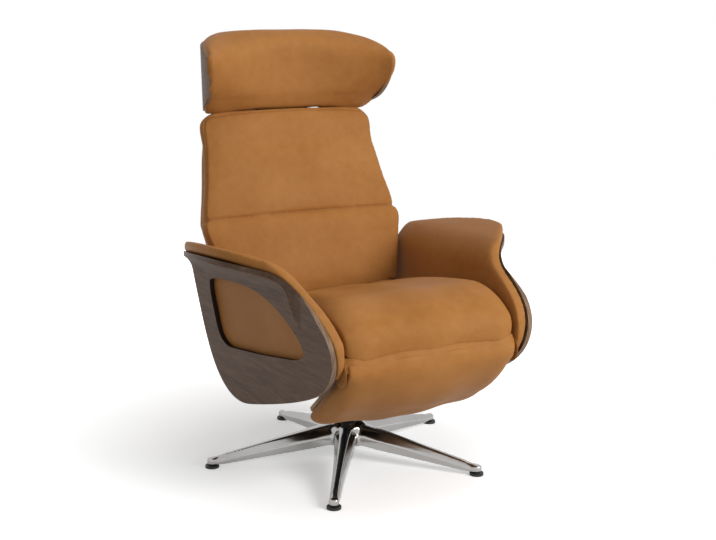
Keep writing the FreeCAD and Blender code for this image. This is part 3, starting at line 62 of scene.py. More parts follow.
# The photograph's view: degrees, metres, and millimetres for the lens
VIEW_TURN = -28.7
VIEW_TILT = 11.885
VIEW_DISTANCE = 3.2359
VIEW_ASIDE = 0.02923
VIEW_HEIGHT = 0.50626
VIEW_LENS = 62.93
VIEW_SENSOR = 36.0

# Floor, world and lamps
FLOOR_RADIUS = 3.0
FLOOR_SIDES = 96
FLOOR_LIT = (0.6, 0.6, 0.6, 1)
FLOOR_SEEN = (0.95, 0.95, 0.95, 1)
FLOOR_NEAR, FLOOR_FAR = 0.35, 1.7
FLOOR_GLOW_NEAR, FLOOR_GLOW_FAR = 0.34, 1.0
WORLD_LIT, WORLD_SEEN = 0.42, 1.0
LAMP_AIM = Vector((0, 0, 0.6))
LAMPS = (
    # name, place, size, watts
    ("key", (1.7, -3.1, 2.0), 1.5, 104),
    ("fill", (-2.6, -2.6, 1.4), 2.4, 3),
    ("top", (0.3, -0.2, 3.4), 1.6, 16),
)

# The back's frame in millimetres and the legrest's hinge in metres, as the CAD has them
LEAN = math.radians(20.5)
BACK_Y, BACK_Z = 190, 395
HINGE_Y, HINGE_Z = -0.402, 0.365

# Rounding of a mesh: a half step in and a slightly larger one out keep its size
STEP_IN = 0.5
STEP_OUT = 0.52


# Camera, floor and light

def make_camera():
    """The camera at the photograph's viewing angle."""
    turn = math.radians(VIEW_TURN)
    tilt = math.radians(VIEW_TILT)
    right = Vector((math.cos(turn), math.sin(turn), 0))
    back = Vector((math.sin(turn) * math.cos(tilt), -math.cos(turn) * math.cos(tilt), math.sin(tilt)))
    target = right * VIEW_ASIDE + Vector((0, 0, VIEW_HEIGHT))
    data = bpy.data.cameras.new("view")
    data.lens = VIEW_LENS
    data.sensor_width = VIEW_SENSOR
    camera = bpy.data.objects.new("view", data)
    place = Matrix.Translation(target + back * VIEW_DISTANCE)
    camera.matrix_world = place @ back.to_track_quat("Z", "Y").to_matrix().to_4x4()
    bpy.context.scene.collection.objects.link(camera)
    bpy.context.scene.camera = camera


def seen_by(tree, *kinds):
    """One where a ray of these kinds arrives, else zero."""
    path = tree.nodes.new("ShaderNodeLightPath")
    value = path.outputs[kinds[0]]
    for kind in kinds[1:]:
        node = tree.nodes.new("ShaderNodeMath")
        node.operation = "MAXIMUM"
        tree.links.new(value, node.inputs[0])
        tree.links.new(path.outputs[kind], node.inputs[1])
        value = node.outputs[0]
    return value


def ranged(tree, value, low, high, start, end):
    """A value brought from one range to another."""
    node = tree.nodes.new("ShaderNodeMapRange")
    tree.links.new(value, node.inputs["Value"])
    for key, number in zip(("From Min", "From Max", "To Min", "To Max"), (low, high, start, end)):
        node.inputs[key].default_value = number
    return node.outputs[0]


def make_floor():
    """A pale round floor that fades to white away from the chair."""
    rim = [(FLOOR_RADIUS * math.cos(a), FLOOR_RADIUS * math.sin(a), 0)
           for a in np.linspace(0, 2 * math.pi, FLOOR_SIDES + 1)[:-1]]
    mesh = bpy.data.meshes.new("floor")
    mesh.from_pydata(rim, [], [tuple(range(len(rim)))])
    floor = bpy.data.objects.new("floor", mesh)
    bpy.context.scene.collection.objects.link(floor)
    material = bpy.data.materials.new("pale_floor")
    material.use_nodes = True
    tree = material.node_tree
    shader = tree.nodes["Principled BSDF"]
    shader.inputs["Roughness"].default_value = 0.9
    shader.inputs["Specular IOR Level"].default_value = 0.0
    shader.inputs["Emission Color"].default_value = (1, 1, 1, 1)
    seen = seen_by(tree, "Is Camera Ray", "Is Glossy Ray")
    tint = tree.nodes.new("ShaderNodeMix")
    tint.data_type = "RGBA"
    tint.inputs[6].default_value = FLOOR_LIT
    tint.inputs[7].default_value = FLOOR_SEEN
    tree.links.new(seen, tint.inputs[0])
    tree.links.new(tint.outputs[2], shader.inputs["Base Color"])
    spot = tree.nodes.new("ShaderNodeTexCoord")
    length = tree.nodes.new("ShaderNodeVectorMath")
    length.operation = "LENGTH"
    tree.links.new(spot.outputs["Object"], length.inputs[0])
    glow = ranged(tree, length.outputs["Value"], FLOOR_NEAR, FLOOR_FAR, FLOOR_GLOW_NEAR, FLOOR_GLOW_FAR)
    product = tree.nodes.new("ShaderNodeMath")
    product.operation = "MULTIPLY"
    tree.links.new(seen, product.inputs[0])
    tree.links.new(glow, product.inputs[1])
    tree.links.new(product.outputs[0], shader.inputs["Emission Strength"])
    mesh.materials.append(material)


def make_stage():
    """Floor, a white world that lights less than it shows, and three soft lamps."""
    make_floor()
    world = bpy.data.worlds.new("studio")
    world.use_nodes = True
    tree = world.node_tree
    sky = tree.nodes["Background"]
    sky.inputs["Color"].default_value = (1, 1, 1, 1)
    seen = seen_by(tree, "Is Camera Ray", "Is Glossy Ray", "Is Transmission Ray")
    tree.links.new(ranged(tree, seen, 0.0, 1.0, WORLD_LIT, WORLD_SEEN), sky.inputs["Strength"])
    bpy.context.scene.world = world
    for name, spot, size, power in LAMPS:
        data = bpy.data.lights.new(name, "AREA")
        data.size = size
        data.energy = power
        lamp = bpy.data.objects.new(name, data)
        spot = Vector(spot)
        aim = (spot - LAMP_AIM).to_track_quat("Z", "Y").to_matrix().to_4x4()
        lamp.matrix_world = Matrix.Translation(spot) @ aim
        bpy.context.scene.collection.objects.link(lamp)
    bpy.context.scene.view_settings.view_transform = "Standard"


# Materials

class Paint:
    """A node material with short calls for its nodes."""

    def __init__(self, name, **sockets):
        self.material = bpy.data.materials.new(name)
        self.material.use_nodes = True
        self.tree = self.material.node_tree
        self.shader = self.tree.nodes["Principled BSDF"]
        for key, value in sockets.items():
            self.shader.inputs[key.replace("_", " ")].default_value = value

    def node(self, kind, props=None, **inputs):
        """A node with settings and inputs; i0, i1 are inputs by number."""
        node = self.tree.nodes.new(kind)
        for key, value in (props or {}).items():
            setattr(node, key, value)
        for key, value in inputs.items():
            self.feed(node, int(key[1:]) if key[0] == "i" and key[1:].isdigit() else key, value)
        return node

    def feed(self, node, key, value):
        socket = node.inputs[key.replace("_", " ") if isinstance(key, str) else key]
        if isinstance(value, bpy.types.NodeSocket):
            self.tree.links.new(value, socket)
        else:
            socket.default_value = value

    def place(self, scale=(1, 1, 1)):
        spot = self.node("ShaderNodeTexCoord").outputs["Object"]
        return self.node("ShaderNodeMapping", Vector=spot, Scale=scale).outputs[0]

    def noise(self, where, scale, detail=3.0, rough=0.5, warp=0.0):
        node = self.node("ShaderNodeTexNoise", Vector=where, Scale=scale, Detail=detail, Roughness=rough,
                         Distortion=warp)
        return node.outputs["Fac"]

    def cracks(self, where, scale):
        """How far a point is from the nearest line between cells."""
        node = self.node("ShaderNodeTexVoronoi", {"feature": "DISTANCE_TO_EDGE"}, Vector=where,
                         Scale=scale)
        return node.outputs["Distance"]

    def math(self, kind, a, b=0.0):
        return self.node("ShaderNodeMath", {"operation": kind}, i0=a, i1=b).outputs[0]

    def mix(self, a, share_a, b, share_b):
        """Two values added by their shares."""
        return self.math("ADD", self.math("MULTIPLY", a, share_a), self.math("MULTIPLY", b, share_b))

    def ramp(self, value, low, high, start=0.0, end=1.0):
        node = self.node("ShaderNodeMapRange", {"clamp": True}, Value=value)
        for key, number in zip(("From Min", "From Max", "To Min", "To Max"), (low, high, start, end)):
            node.inputs[key].default_value = number
        return node.outputs[0]

    def blend(self, share, a, b):
        """Colour a where share is zero, and colour b where it is one."""
        node = self.node("ShaderNodeMix", {"data_type": "RGBA"})
        self.feed(node, 0, share)
        self.feed(node, 6, a)
        self.feed(node, 7, b)
        return node.outputs[2]

    def bump(self, height, distance, strength=1.0, under=None):
        node = self.node("ShaderNodeBump", Height=height, Distance=distance, Strength=strength)
        if under is not None:
            self.tree.links.new(under, node.inputs["Normal"])
        return node.outputs[0]

    def wear(self, **links):
        for key, value in links.items():
            self.tree.links.new(value, self.shader.inputs[key.replace("_", " ")])
        return self.material


def rgb(red, green, blue):
    """Linear colour of a screen colour."""
    def linear(value):
        value /= 255.0
        return value / 12.92 if value <= 0.04045 else ((value + 0.055) / 1.055) ** 2.4
    return (linear(red), linear(green), linear(blue), 1.0)


def leather_paint():
    """Aniline leather: mottled dye, fine pores and a soft, slightly uneven surface."""
    p = Paint("cognac_leather", IOR=1.45, Specular_IOR_Level=0.09)
    where = p.place()
    broad = p.noise(where, 5.0, 3.0, 0.55)
    mottle = p.noise(where, 38.0, 4.0, 0.6)
    tone = p.mix(broad, 0.62, mottle, 0.38)
    colour = p.blend(p.ramp(tone, 0.32, 0.68), rgb(157, 103, 50), rgb(175, 121, 67))
    grain = p.cracks(where, 620.0)
    pores = p.ramp(grain, 0.0, 0.16)
    fine = p.noise(where, 1500.0, 2.0, 0.6)
    dark = p.math("MULTIPLY", p.math("SUBTRACT", 1.0, pores), 0.22)
    colour = p.blend(dark, colour, rgb(104, 56, 20))
    rough = p.ramp(p.math("ADD", mottle, p.math("MULTIPLY", pores, -0.12)), 0.2, 0.8, 0.44, 0.58)
    height = p.math("ADD", pores, p.math("MULTIPLY", fine, 0.4))
    soft = p.bump(p.noise(where, 22.0, 3.0, 0.5, 0.6), 0.0016, 0.35)
    normal = p.bump(height, 0.00016, 0.55, soft)
    return p.wear(Base_Color=colour, Roughness=rough, Normal=normal)


def thread_paint():
    """Twisted and waxed sewing thread."""
    p = Paint("waxed_thread", Roughness=0.6)
    where = p.place()
    twist = p.noise(where, 900.0, 2.0)
    colour = p.blend(twist, rgb(120, 66, 26), rgb(150, 92, 42))
    return p.wear(Base_Color=colour, Normal=p.bump(twist, 0.0003, 0.6))


def walnut_paint(name, scale, edge):
    """Stained walnut veneer along one axis, with its cut edges shown by a mask each: lighter, as their
    layers plus a painted highlight, and dark in a window, as painted shade.
    """
    p = Paint(name, IOR=1.5, Specular_IOR_Level=0.08)
    where = p.place(scale)
    coords = p.node("ShaderNodeTexCoord")
    flow = p.noise(where, 3.2, 4.0, 0.6, 0.8)
    streak = p.noise(where, 11.0, 5.0, 0.7, 0.3)
    fibre = p.noise(p.place([value * 2.2 for value in scale]), 60.0, 4.0, 0.7)
    tone = p.mix(flow, 0.45, streak, 0.55)
    colour = p.blend(p.ramp(tone, 0.30, 0.70), rgb(72, 53, 41), rgb(120, 97, 80))
    colour = p.blend(p.ramp(fibre, 0.52, 0.75, 0.0, 0.55), colour, rgb(50, 35, 26))
    colour = p.blend(p.ramp(streak, 0.64, 0.80, 0.0, 0.55), colour, rgb(156, 132, 112))
    rim, window_edge_shade = edge(p, coords)
    # Cut edges: the board's layers, made lighter along them as a painted highlight.
    layers = p.noise(p.place((300.0, 20.0, 20.0)), 1.0, 2.0, 0.5)
    edge_layers_and_highlight = p.blend(p.ramp(layers, 0.35, 0.65), rgb(110, 88, 70), rgb(142, 118, 97))
    colour = p.blend(rim, colour, edge_layers_and_highlight)
    # The window's inner edges are painted dark: painted shade in the recess.
    if window_edge_shade is not None:
        colour = p.blend(window_edge_shade, colour, rgb(42, 32, 26))
    rough = p.ramp(fibre, 0.3, 0.7, 0.40, 0.55)
    normal = p.bump(fibre, 0.00025, 0.5)
    return p.wear(Base_Color=colour, Roughness=rough, Normal=normal)


def arm_edge(p, coords):
    """Masks of the cut edges of the arm's bent board: round its outline, which take the layers and a
    painted highlight, and in its window, painted dark as shade in the recess.
    """
    side = p.node("ShaderNodeSeparateXYZ", Vector=coords.outputs["Normal"])
    spot = p.node("ShaderNodeSeparateXYZ", Vector=coords.outputs["Object"])
    y, z = spot.outputs[1], spot.outputs[2]
    cut = p.math("LESS_THAN", p.math("ABSOLUTE", side.outputs[0]), 0.15)
    wide = p.math("POWER", p.math("DIVIDE", p.math("ADD", y, 0.07), 0.27), 2.0)
    tall = p.math("POWER", p.math("DIVIDE", p.math("SUBTRACT", z, 0.415), 0.115), 2.0)
    inside = p.math("LESS_THAN", p.math("ADD", wide, tall), 1.25)
    return p.math("MULTIPLY", cut, p.math("SUBTRACT", 1.0, inside)), p.math("MULTIPLY", cut, inside)


def head_edge(p, coords):
    """Mask of the cut edges of the headrest's bent board: its top, its foot and its wings' fronts, which
    take the edge layers and a painted highlight.
    """
    side = p.node("ShaderNodeSeparateXYZ", Vector=coords.outputs["Normal"])
    spot = p.node("ShaderNodeSeparateXYZ", Vector=coords.outputs["Object"])
    top = p.math("GREATER_THAN", p.math("ABSOLUTE", side.outputs[2]), 0.3)
    wing = p.math("MULTIPLY", p.math("LESS_THAN", side.outputs[1], -0.45),
                  p.math("GREATER_THAN", p.math("ABSOLUTE", spot.outputs[0]), 0.228))
    return p.math("MAXIMUM", top, wing), None


def plywood_paint():
    """Birch plywood, in layers upwards."""
    p = Paint("birch_plywood", Roughness=0.65)
    layers = p.noise(p.place((6.0, 6.0, 420.0)), 1.0, 2.0)
    fibre = p.noise(p.place((3.0, 60.0, 60.0)), 6.0, 4.0)
    colour = p.blend(p.ramp(layers, 0.4, 0.6), rgb(168, 132, 92), rgb(206, 174, 132))
    colour = p.blend(p.ramp(fibre, 0.5, 0.8, 0.0, 0.4), colour, rgb(142, 106, 70))
    return p.wear(Base_Color=colour, Normal=p.bump(fibre, 0.0003, 0.5))


def polished_paint():
    """Cast aluminium, polished by hand."""
    p = Paint("polished_aluminium", Metallic=1.0)
    where = p.place()
    haze = p.noise(where, 9.0, 3.0)
    lines = p.noise(p.place((40.0, 40.0, 6.0)), 40.0, 2.0)
    colour = p.blend(haze, (0.33, 0.322, 0.314, 1), (0.48, 0.472, 0.462, 1))
    rough = p.ramp(p.math("ADD", haze, p.math("MULTIPLY", lines, 0.4)), 0.4, 1.1, 0.09, 0.2)
    return p.wear(Base_Color=colour, Roughness=rough, Normal=p.bump(lines, 0.00008, 0.25))


def steel_paint():
    """Drawn steel with lengthwise lines."""
    p = Paint("drawn_steel", Metallic=1.0)
    lines = p.noise(p.place((30.0, 300.0, 300.0)), 3.0, 4.0, 0.7)
    colour = p.blend(lines, (0.48, 0.48, 0.49, 1), (0.66, 0.66, 0.67, 1))
    rough = p.ramp(lines, 0.3, 0.7, 0.24, 0.4)
    return p.wear(Base_Color=colour, Roughness=rough, Normal=p.bump(lines, 0.0001, 0.4))


def powder_paint():
    """Black powder coat with a fine peel."""
    p = Paint("black_powder_coat", Metallic=0.0)
    where = p.place()
    peel = p.noise(where, 420.0, 3.0, 0.6)
    dust = p.noise(where, 14.0, 4.0, 0.6)
    colour = p.blend(p.ramp(dust, 0.45, 0.75), (0.012, 0.012, 0.013, 1), (0.03, 0.03, 0.031, 1))
    rough = p.ramp(dust, 0.3, 0.7, 0.38, 0.52)
    return p.wear(Base_Color=colour, Roughness=rough, Normal=p.bump(peel, 0.0003, 0.5))


def plastic_paint(name, dark, light):
    """Moulded plastic with scuffs."""
    p = Paint(name)
    where = p.place()
    spark = p.noise(where, 800.0, 2.0, 0.6)
    scuff = p.noise(where, 30.0, 4.0, 0.65)
    colour = p.blend(p.ramp(scuff, 0.4, 0.8), dark, light)
    rough = p.ramp(scuff, 0.3, 0.7, 0.5, 0.68)
    return p.wear(Base_Color=colour, Roughness=rough, Normal=p.bump(spark, 0.0002, 0.6))


# Soft pieces

def new_piece(name, mesh, material, body):
    """A smooth piece that rides on a body, if it is given one."""
    piece = bpy.data.objects.new(name, mesh)
    mesh.materials.clear()
    mesh.materials.append(material)
    mesh.polygons.foreach_set("use_smooth", np.ones(len(mesh.polygons), dtype=bool))
    bpy.context.scene.collection.objects.link(piece)
    if body:
        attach(piece, body)
    return piece


def points_of(mesh):
    flat = np.empty(len(mesh.vertices) * 3)
    mesh.vertices.foreach_get("co", flat)
    return flat.reshape(-1, 3)


def set_points(mesh, points):
    mesh.vertices.foreach_set("co", points.ravel())
    mesh.update()


def normals_of(mesh):
    flat = np.empty(len(mesh.vertices) * 3, dtype=np.float32)
    mesh.vertex_normals.foreach_get("vector", flat)
    return flat.reshape(-1, 3).astype(float)


def edges_of(mesh):
    flat = np.empty(len(mesh.edges) * 2, dtype=np.int32)
    mesh.edges.foreach_get("vertices", flat)
    return flat.reshape(-1, 2)


def relax(points, edges, rounds, give=None, push=0.0):
    """Round a mesh off towards its neighbours' middle; a push after each round undoes the shrinking."""
    size = len(points)
    a, b = edges[:, 0], edges[:, 1]
    count = np.maximum(np.bincount(a, minlength=size) + np.bincount(b, minlength=size), 1)[:, None]
    give = 1.0 if give is None else give[:, None]
    steps = (STEP_IN, -push) if push else (STEP_IN,)
    for _ in range(rounds):
        for step in steps:
            total = np.stack([np.bincount(a, weights=points[b, k], minlength=size)
                              + np.bincount(b, weights=points[a, k], minlength=size)
                              for k in range(3)], axis=1)
            points = points + step * give * (total / count - points)
    return points


def with_modifier(mesh, kind, **settings):
    """The mesh as one modifier leaves it."""
    helper = bpy.data.objects.new("helper", mesh)
    bpy.context.scene.collection.objects.link(helper)
    modifier = helper.modifiers.new("work", kind)
    for key, value in settings.items():
        setattr(modifier, key, value)
    graph = bpy.context.evaluated_depsgraph_get()
    result = bpy.data.meshes.new_from_object(helper.evaluated_get(graph))
    bpy.data.objects.remove(helper)
    return result


def tree_of(mesh):
    """A search tree of a mesh's faces."""
    points = [Vector(p) for p in points_of(mesh)]
    return BVHTree.FromPolygons(points, [tuple(f.vertices) for f in mesh.polygons])


def hold_inside(points, tree, limit):
    """Pull back each point that stands further out of a CAD surface than a limit."""
    for i, point in enumerate(points):
        place = Vector(point)
        spot, normal, _, _ = tree.find_nearest(place)
        if (place - spot).dot(normal) > limit:
            points[i] = spot + normal * limit
    return points


def ease(value, low, high):
    """Zero below low, one above high, and a smooth step between."""
    share = np.clip((value - low) / (high - low), 0, 1)
    return share * share * (3 - 2 * share)


class Soft:
    """One upholstered piece, grown from its CAD solid by a pressure simulation.

    The cloth runs on a coarse copy. Its movement is then carried over to a fine mesh, which
    has the rounding and the sewn lines.
    """
    FINE = 0.0032       # voxel of the mesh that is seen
    COARSE = 0.0085     # voxel of the mesh that the cloth runs on
    STEPS = 12          # frames that the cloth runs
    INSET = 0.003       # how much smaller the cloth starts
    SKIN = 0.0012       # how much the fine mesh gives back before it takes the movement
    EVEN = 70           # rounds that even out the movement
    NEAR = 4            # coarse points that move a fine one
    BLUR = 0.002        # distance that softens their weights
    REACH = 4           # a seam acts this many widths away

    def __init__(self, node, body, rounds, swell, proud, fill, give=None, lift=None):
        self.node = node
        self.body = body
        self.fill = fill
        self.swell = swell
        self.proud = proud
        self.lift = lift
        source = frame["nodes"][node].data
        self.tree = tree_of(source)
        mesh = with_modifier(source.copy(), "REMESH", mode="VOXEL", voxel_size=self.FINE)
        points = points_of(mesh)
        edges = edges_of(mesh)
        points = relax(points, edges, 8, push=STEP_OUT)
        points = relax(points, edges, rounds, give(points) if give else None)
        set_points(mesh, points)
        self.mesh = mesh
        self.helper = None
        self.start_cloth(source)

    def start_cloth(self, source):
        mesh = with_modifier(source.copy(), "REMESH", mode="VOXEL", voxel_size=self.COARSE)
        set_points(mesh, relax(points_of(mesh), edges_of(mesh), 3))
        set_points(mesh, points_of(mesh) - normals_of(mesh) * self.INSET)
        self.rough = mesh
        self.helper = bpy.data.objects.new("helper_" + self.node, mesh)
        bpy.context.scene.collection.objects.link(self.helper)
        modifier = self.helper.modifiers.new("Cloth", "CLOTH")
        settings = modifier.settings
        settings.quality = 5
        settings.mass = 0.3
        settings.tension_stiffness = 12
        settings.compression_stiffness = 12
        settings.shear_stiffness = 6
        settings.bending_stiffness = 2.0
        settings.use_pressure = True
        settings.uniform_pressure_force = 4.0
        settings.effector_weights.gravity = 0
        modifier.collision_settings.use_collision = False
        modifier.point_cache.frame_start = 1
        modifier.point_cache.frame_end = self.STEPS

    def carried(self, points):
        """The cloth's movement at each fine point, from the nearest coarse points."""
        start = points_of(self.rough)
        graph = bpy.context.evaluated_depsgraph_get()
        shaped = bpy.data.meshes.new_from_object(self.helper.evaluated_get(graph))
        move = points_of(shaped) - start
        bpy.data.objects.remove(self.helper)
        reach = np.linalg.norm(move, axis=1)[:, None]
        move *= np.minimum(1.0, self.swell / np.maximum(reach, 1e-9))
        finder = KDTree(len(start))
        for i, point in enumerate(start):
            finder.insert(point, i)
        finder.balance()
        out = np.empty_like(points)
        for i, point in enumerate(points):
            near = finder.find_n(point, self.NEAR)
            weights = np.array([1.0 / (gap + self.BLUR) ** 2 for _, _, gap in near])
            out[i] = weights @ move[[j for _, j, _ in near]] / weights.sum()
        return out

    def settle(self):
        """Take the simulated form, held to the space of its CAD solid."""
        points = points_of(self.mesh)
        edges = edges_of(self.mesh)
        if self.helper is None:
            points = points + normals_of(self.mesh) * (self.swell * 0.5)
        else:
            move = relax(self.carried(points), edges, self.EVEN)
            points = points + move - normals_of(self.mesh) * self.SKIN
        points = hold_inside(points, self.tree, self.proud)
        points = relax(points, edges, 3, push=STEP_OUT)
        if self.lift:
            points = points + self.lift(points)
        set_points(self.mesh, points)

    def press(self, line, depth, width, pucker=0.0, pitch=0.022):
        """Draw the skin in along a seam, or out for a depth below zero, with small gathers beside it."""
        points = points_of(self.mesh)
        normals = normals_of(self.mesh)
        line = dense(line, 0.002)
        finder = KDTree(len(line))
        travel = np.concatenate([[0], np.cumsum(np.linalg.norm(np.diff(line, axis=0), axis=1))])
        for i, point in enumerate(line):
            finder.insert(point, i)
        finder.balance()
        low = line.min(axis=0) - self.REACH * width
        high = line.max(axis=0) + self.REACH * width
        near = np.where(np.all((points > low) & (points < high), axis=1))[0]
        for i in near:
            _, spot, gap = finder.find(points[i])
            if gap > self.REACH * width:
                continue
            drop = depth * math.exp(-(gap / width) ** 2)
            if pucker:
                s = travel[spot]
                wave = math.sin(s / pitch * 6.283 + 2.1 * math.sin(s / pitch * 1.7)) * math.sin(s * 31.0)
                drop += pucker * wave * math.exp(-((gap - 1.6 * width) / (1.4 * width)) ** 2)
            points[i] -= normals[i] * drop
        set_points(self.mesh, points)

    def finish(self, material):
        """The piece in the scene, in its CAD solid's place."""
        piece = new_piece(self.node + "_leather", self.mesh, material, self.body)
        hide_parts(self.node)
        return piece


def dense(line, step):
    """The line with more points, a step apart at most."""
    line = np.array([tuple(p) for p in line], dtype=float)
    out = [line[:1]]
    for a, b in zip(line, line[1:]):
        parts = max(1, int(np.linalg.norm(b - a) / step))
        out.append(a + (b - a) * (np.arange(1, parts + 1) / parts)[:, None])
    return np.concatenate(out)


def curve_points(points, steps=8):
    """Smooth open line through points."""
    pts = [Vector(p) for p in points]
    out = []
    for i in range(len(pts) - 1):
        b, c = pts[i], pts[i + 1]
        a = pts[i - 1] if i else b * 2 - c
        d = pts[i + 2] if i + 2 < len(pts) else c * 2 - b
        for k in range(steps):
            t = k / steps
            out.append(0.5 * ((2 * b) + (c - a) * t + (2 * a - 5 * b + 4 * c - d) * t * t
                              + (3 * b - a - 3 * c + d) * t ** 3))
    out.append(pts[-1])
    return out


def lay_on(line, tree):
    """The line's nearest points on a surface."""
    return [tree.find_nearest(Vector(point))[0] for point in line]


def tube_faces(rings, size, start=0):
    """Faces between rings of points, one ring after the other, with both ends closed."""
    faces = []
    for ring in range(rings - 1):
        for k in range(size):
            p = start + ring * size
            q = (k + 1) % size
            faces.append((p + k, p + q, p + size + q, p + size + k))
    last = start + (rings - 1) * size
    return faces + [tuple(start + k for k in reversed(range(size))), tuple(last + k for k in range(size))]


# A stitch's rings: place along it, thickness, and rise out of the skin, each by its own measure
STITCH = ((-0.5, 0.35, -0.3), (-0.28, 1.0, 0.35), (0.28, 1.0, 0.35), (0.5, 0.35, -0.3))
STITCH_SIDES = 6


def stitches(name, line, tree, offset, body, pitch=0.0055, length=0.0038, radius=0.00055):
    """A row of sewn stitches beside a seam, each a small slanted thread loop."""
    line = dense(line, 0.0008)
    travel = np.concatenate([[0], np.cumsum(np.linalg.norm(np.diff(line, axis=0), axis=1))])
    verts = []
    faces = []
    for s in np.arange(pitch, travel[-1] - pitch, pitch):
        i = min(int(np.searchsorted(travel, s)), len(line) - 2)
        spot, normal, _, _ = tree.find_nearest(Vector(line[i]))
        along = Vector(line[min(i + 3, len(line) - 1)] - line[max(i - 3, 0)])
        if along.length < 1e-6:
            continue
        along.normalize()
        across = normal.cross(along).normalized()
        centre, normal, _, _ = tree.find_nearest(spot + across * offset)
        along = (along - normal * along.dot(normal)).normalized()
        across = normal.cross(along)
        faces += tube_faces(len(STITCH), STITCH_SIDES, len(verts))
        for share, size, rise in STITCH:
            middle = centre + along * (share * length) + normal * (rise * radius)
            for k in range(STITCH_SIDES):
                a = 2 * k * math.pi / STITCH_SIDES
                verts.append(middle + (across * math.cos(a) + normal * math.sin(a)) * radius * size)
    mesh = bpy.data.meshes.new(name)
    mesh.from_pydata([tuple(v) for v in verts], [], faces)
    return new_piece(name, mesh, THREAD, body)


def back_spot(x, depth, up):
    """A point of the leaning back, from millimetres."""
    y = BACK_Y + depth * math.cos(LEAN) + up * math.sin(LEAN)
    z = BACK_Z - depth * math.sin(LEAN) + up * math.cos(LEAN)
    return Vector((x * MM, y * MM, z * MM))


# Where each soft piece rounds off, and where it is lifted out of its solid: all in metres, and each
# effect comes in smoothly between two places. A lift is a vector at each point.

def shift(share, vector):
    """A movement by a share of a vector at each point."""
    return share[:, None] * np.array(vector)


def seat_give(p):
    """The front lip keeps its edge, and the rest rounds off."""
    return 1 - 0.9 * ease(-p[:, 2], -0.412, -0.400) * ease(-p[:, 1], 0.395, 0.410)


def seat_lift(p):
    """The lip comes down to the legrest, and the rear edge reaches back to the back cushion."""
    lip = ease(-p[:, 2], -0.425, -0.398) * ease(-p[:, 1], 0.400, 0.422)
    rear = ease(p[:, 1], 0.085, 0.130) * ease(p[:, 2], 0.36, 0.40)
    wide = 0.006 + 0.006 * ease(np.abs(p[:, 0]), 0.12, 0.235)
    return shift(lip, (0, -0.0005, -0.0042)) + shift(rear * wide, (0, 1.0, 0.15))


def legrest_give(p):
    """The top edge and the ends over the side plates keep their form."""
    return 1 - 0.85 * ease(p[:, 2], 0.345, 0.375)


def legrest_lift(p):
    """The top edge comes up to the seat, and the ends reach over the side plates."""
    near = ease(p[:, 2], 0.372, 0.392)
    end = ease(np.abs(p[:, 0]), 0.200, 0.225) * np.sign(p[:, 0]) * ease(p[:, 2], 0.25, 0.32)
    return shift(near, (0, -0.0003, 0.0028)) + shift(end, (0.0036, 0, 0))


def back_give(p):
    """The foot keeps its form over the seat."""
    return 0.35 + 0.65 * ease(p[:, 2], 0.43, 0.47)


def back_lift(p):
    """The top ridge stands up under the headrest, and the foot comes forward and down."""
    top = ease(p[:, 2], 0.870, 0.890) * (1 - ease(np.abs(p[:, 0]), 0.215, 0.25))
    foot = 1 - ease(p[:, 2], 0.415, 0.450)
    return shift(top, (0, -0.0005, 0.0142)) + shift(foot, (0, -0.003, -0.003))


def headrest_give(p):
    """The underside and the ends in the wings keep their form."""
    low = 1 - ease(p[:, 2], 0.915, 0.935)
    wide = ease(np.abs(p[:, 0]), 0.225, 0.25)
    return 1 - 0.8 * np.maximum(low, wide)


def headrest_lift(p):
    """The underside hangs lower in front of the hinge, the crest stands higher, and the ends fill out."""
    near = (1 - ease(p[:, 2], 0.900, 0.935)) * (1 - ease(p[:, 1], 0.352, 0.368))
    ends = ease(np.abs(p[:, 0]), 0.17, 0.235) * np.sign(p[:, 0])
    corner = ends * (1 - ease(p[:, 2], 0.92, 1.00))
    crest = ease(p[:, 2], 0.99, 1.09)
    return (shift(near, (0, 0.0005, -0.0212)) + shift(crest, (0, 0, 0.0075))
            + shift(ends, (0.0045, 0, 0)) + shift(corner, (0.005, 0, 0)))


def arm_give(p):
    """The rolled top softens most; the thin lining keeps its edge."""
    return 0.3 + 0.7 * ease(p[:, 2], 0.50, 0.56)


SOFT = (
    # node, body, rounding, swell, proud of the solid, fill, where it gives, where it is lifted
    ("seat_cushion", "seat", 16, 0.005, 0.003, 0.75, seat_give, seat_lift),
    ("legrest_pad", "legrest", 80, 0.004, 0.005, 0.75, legrest_give, legrest_lift),
    ("back_cushion", "back", 16, 0.005, 0.003, 0.75, back_give, back_lift),
    ("back_cover", "back", 4, 0.002, 0.0005, 0.3),
    ("headrest_cushion", "headrest", 22, 0.007, 0.006, 0.8, headrest_give, headrest_lift),
    ("arm_pad_left", "seat", 36, 0.003, 0.0012, 0.5, arm_give),
    ("arm_pad_right", "seat", 36, 0.003, 0.0012, 0.5, arm_give),
    ("arm_inset_left", "seat", 6, 0.002, 0.0005, 0.5),
    ("arm_inset_right", "seat", 6, 0.002, 0.0005, 0.5),
)

# Seams of the back cushion, in millimetres of the back's frame
SEAM_UP = 233
SEAM_HALF = 287
SEAM_DEPTH, SEAM_CROWN = -27, 14
SEAM_END = ((284, 8), (291, -12), (287, -27))
SIDE_LINE = ((20, 247, 26), (33, 255, 32), (74, 267, 34), (130, 280, 34), (175, 291, 34), (209, 297, 33),
             (229, 289, 27), (237, 289, 27), (263, 287, 27), (321, 274, 27), (393, 263, 27), (458, 256, 28),
             (492, 251, 29))
TOP_LINE = ((508, 240, 28), (512, 200, 31), (513, 100, 36))
TOP_MIDDLE = (513, 0, 37)
SEAM_WIDTH = 0.0028
STITCH_OFFSET = 0.0032


def seam_across():
    """The seam between the back's two fields."""
    line = [back_spot(-x, d, SEAM_UP) for x, d in SEAM_END]
    line += [back_spot(x, SEAM_DEPTH - SEAM_CROWN * (1 - (x / SEAM_HALF) ** 2), SEAM_UP)
             for x in range(-270, 271, 30)]
    line += [back_spot(x, d, SEAM_UP) for x, d in reversed(SEAM_END)]
    return curve_points(line)


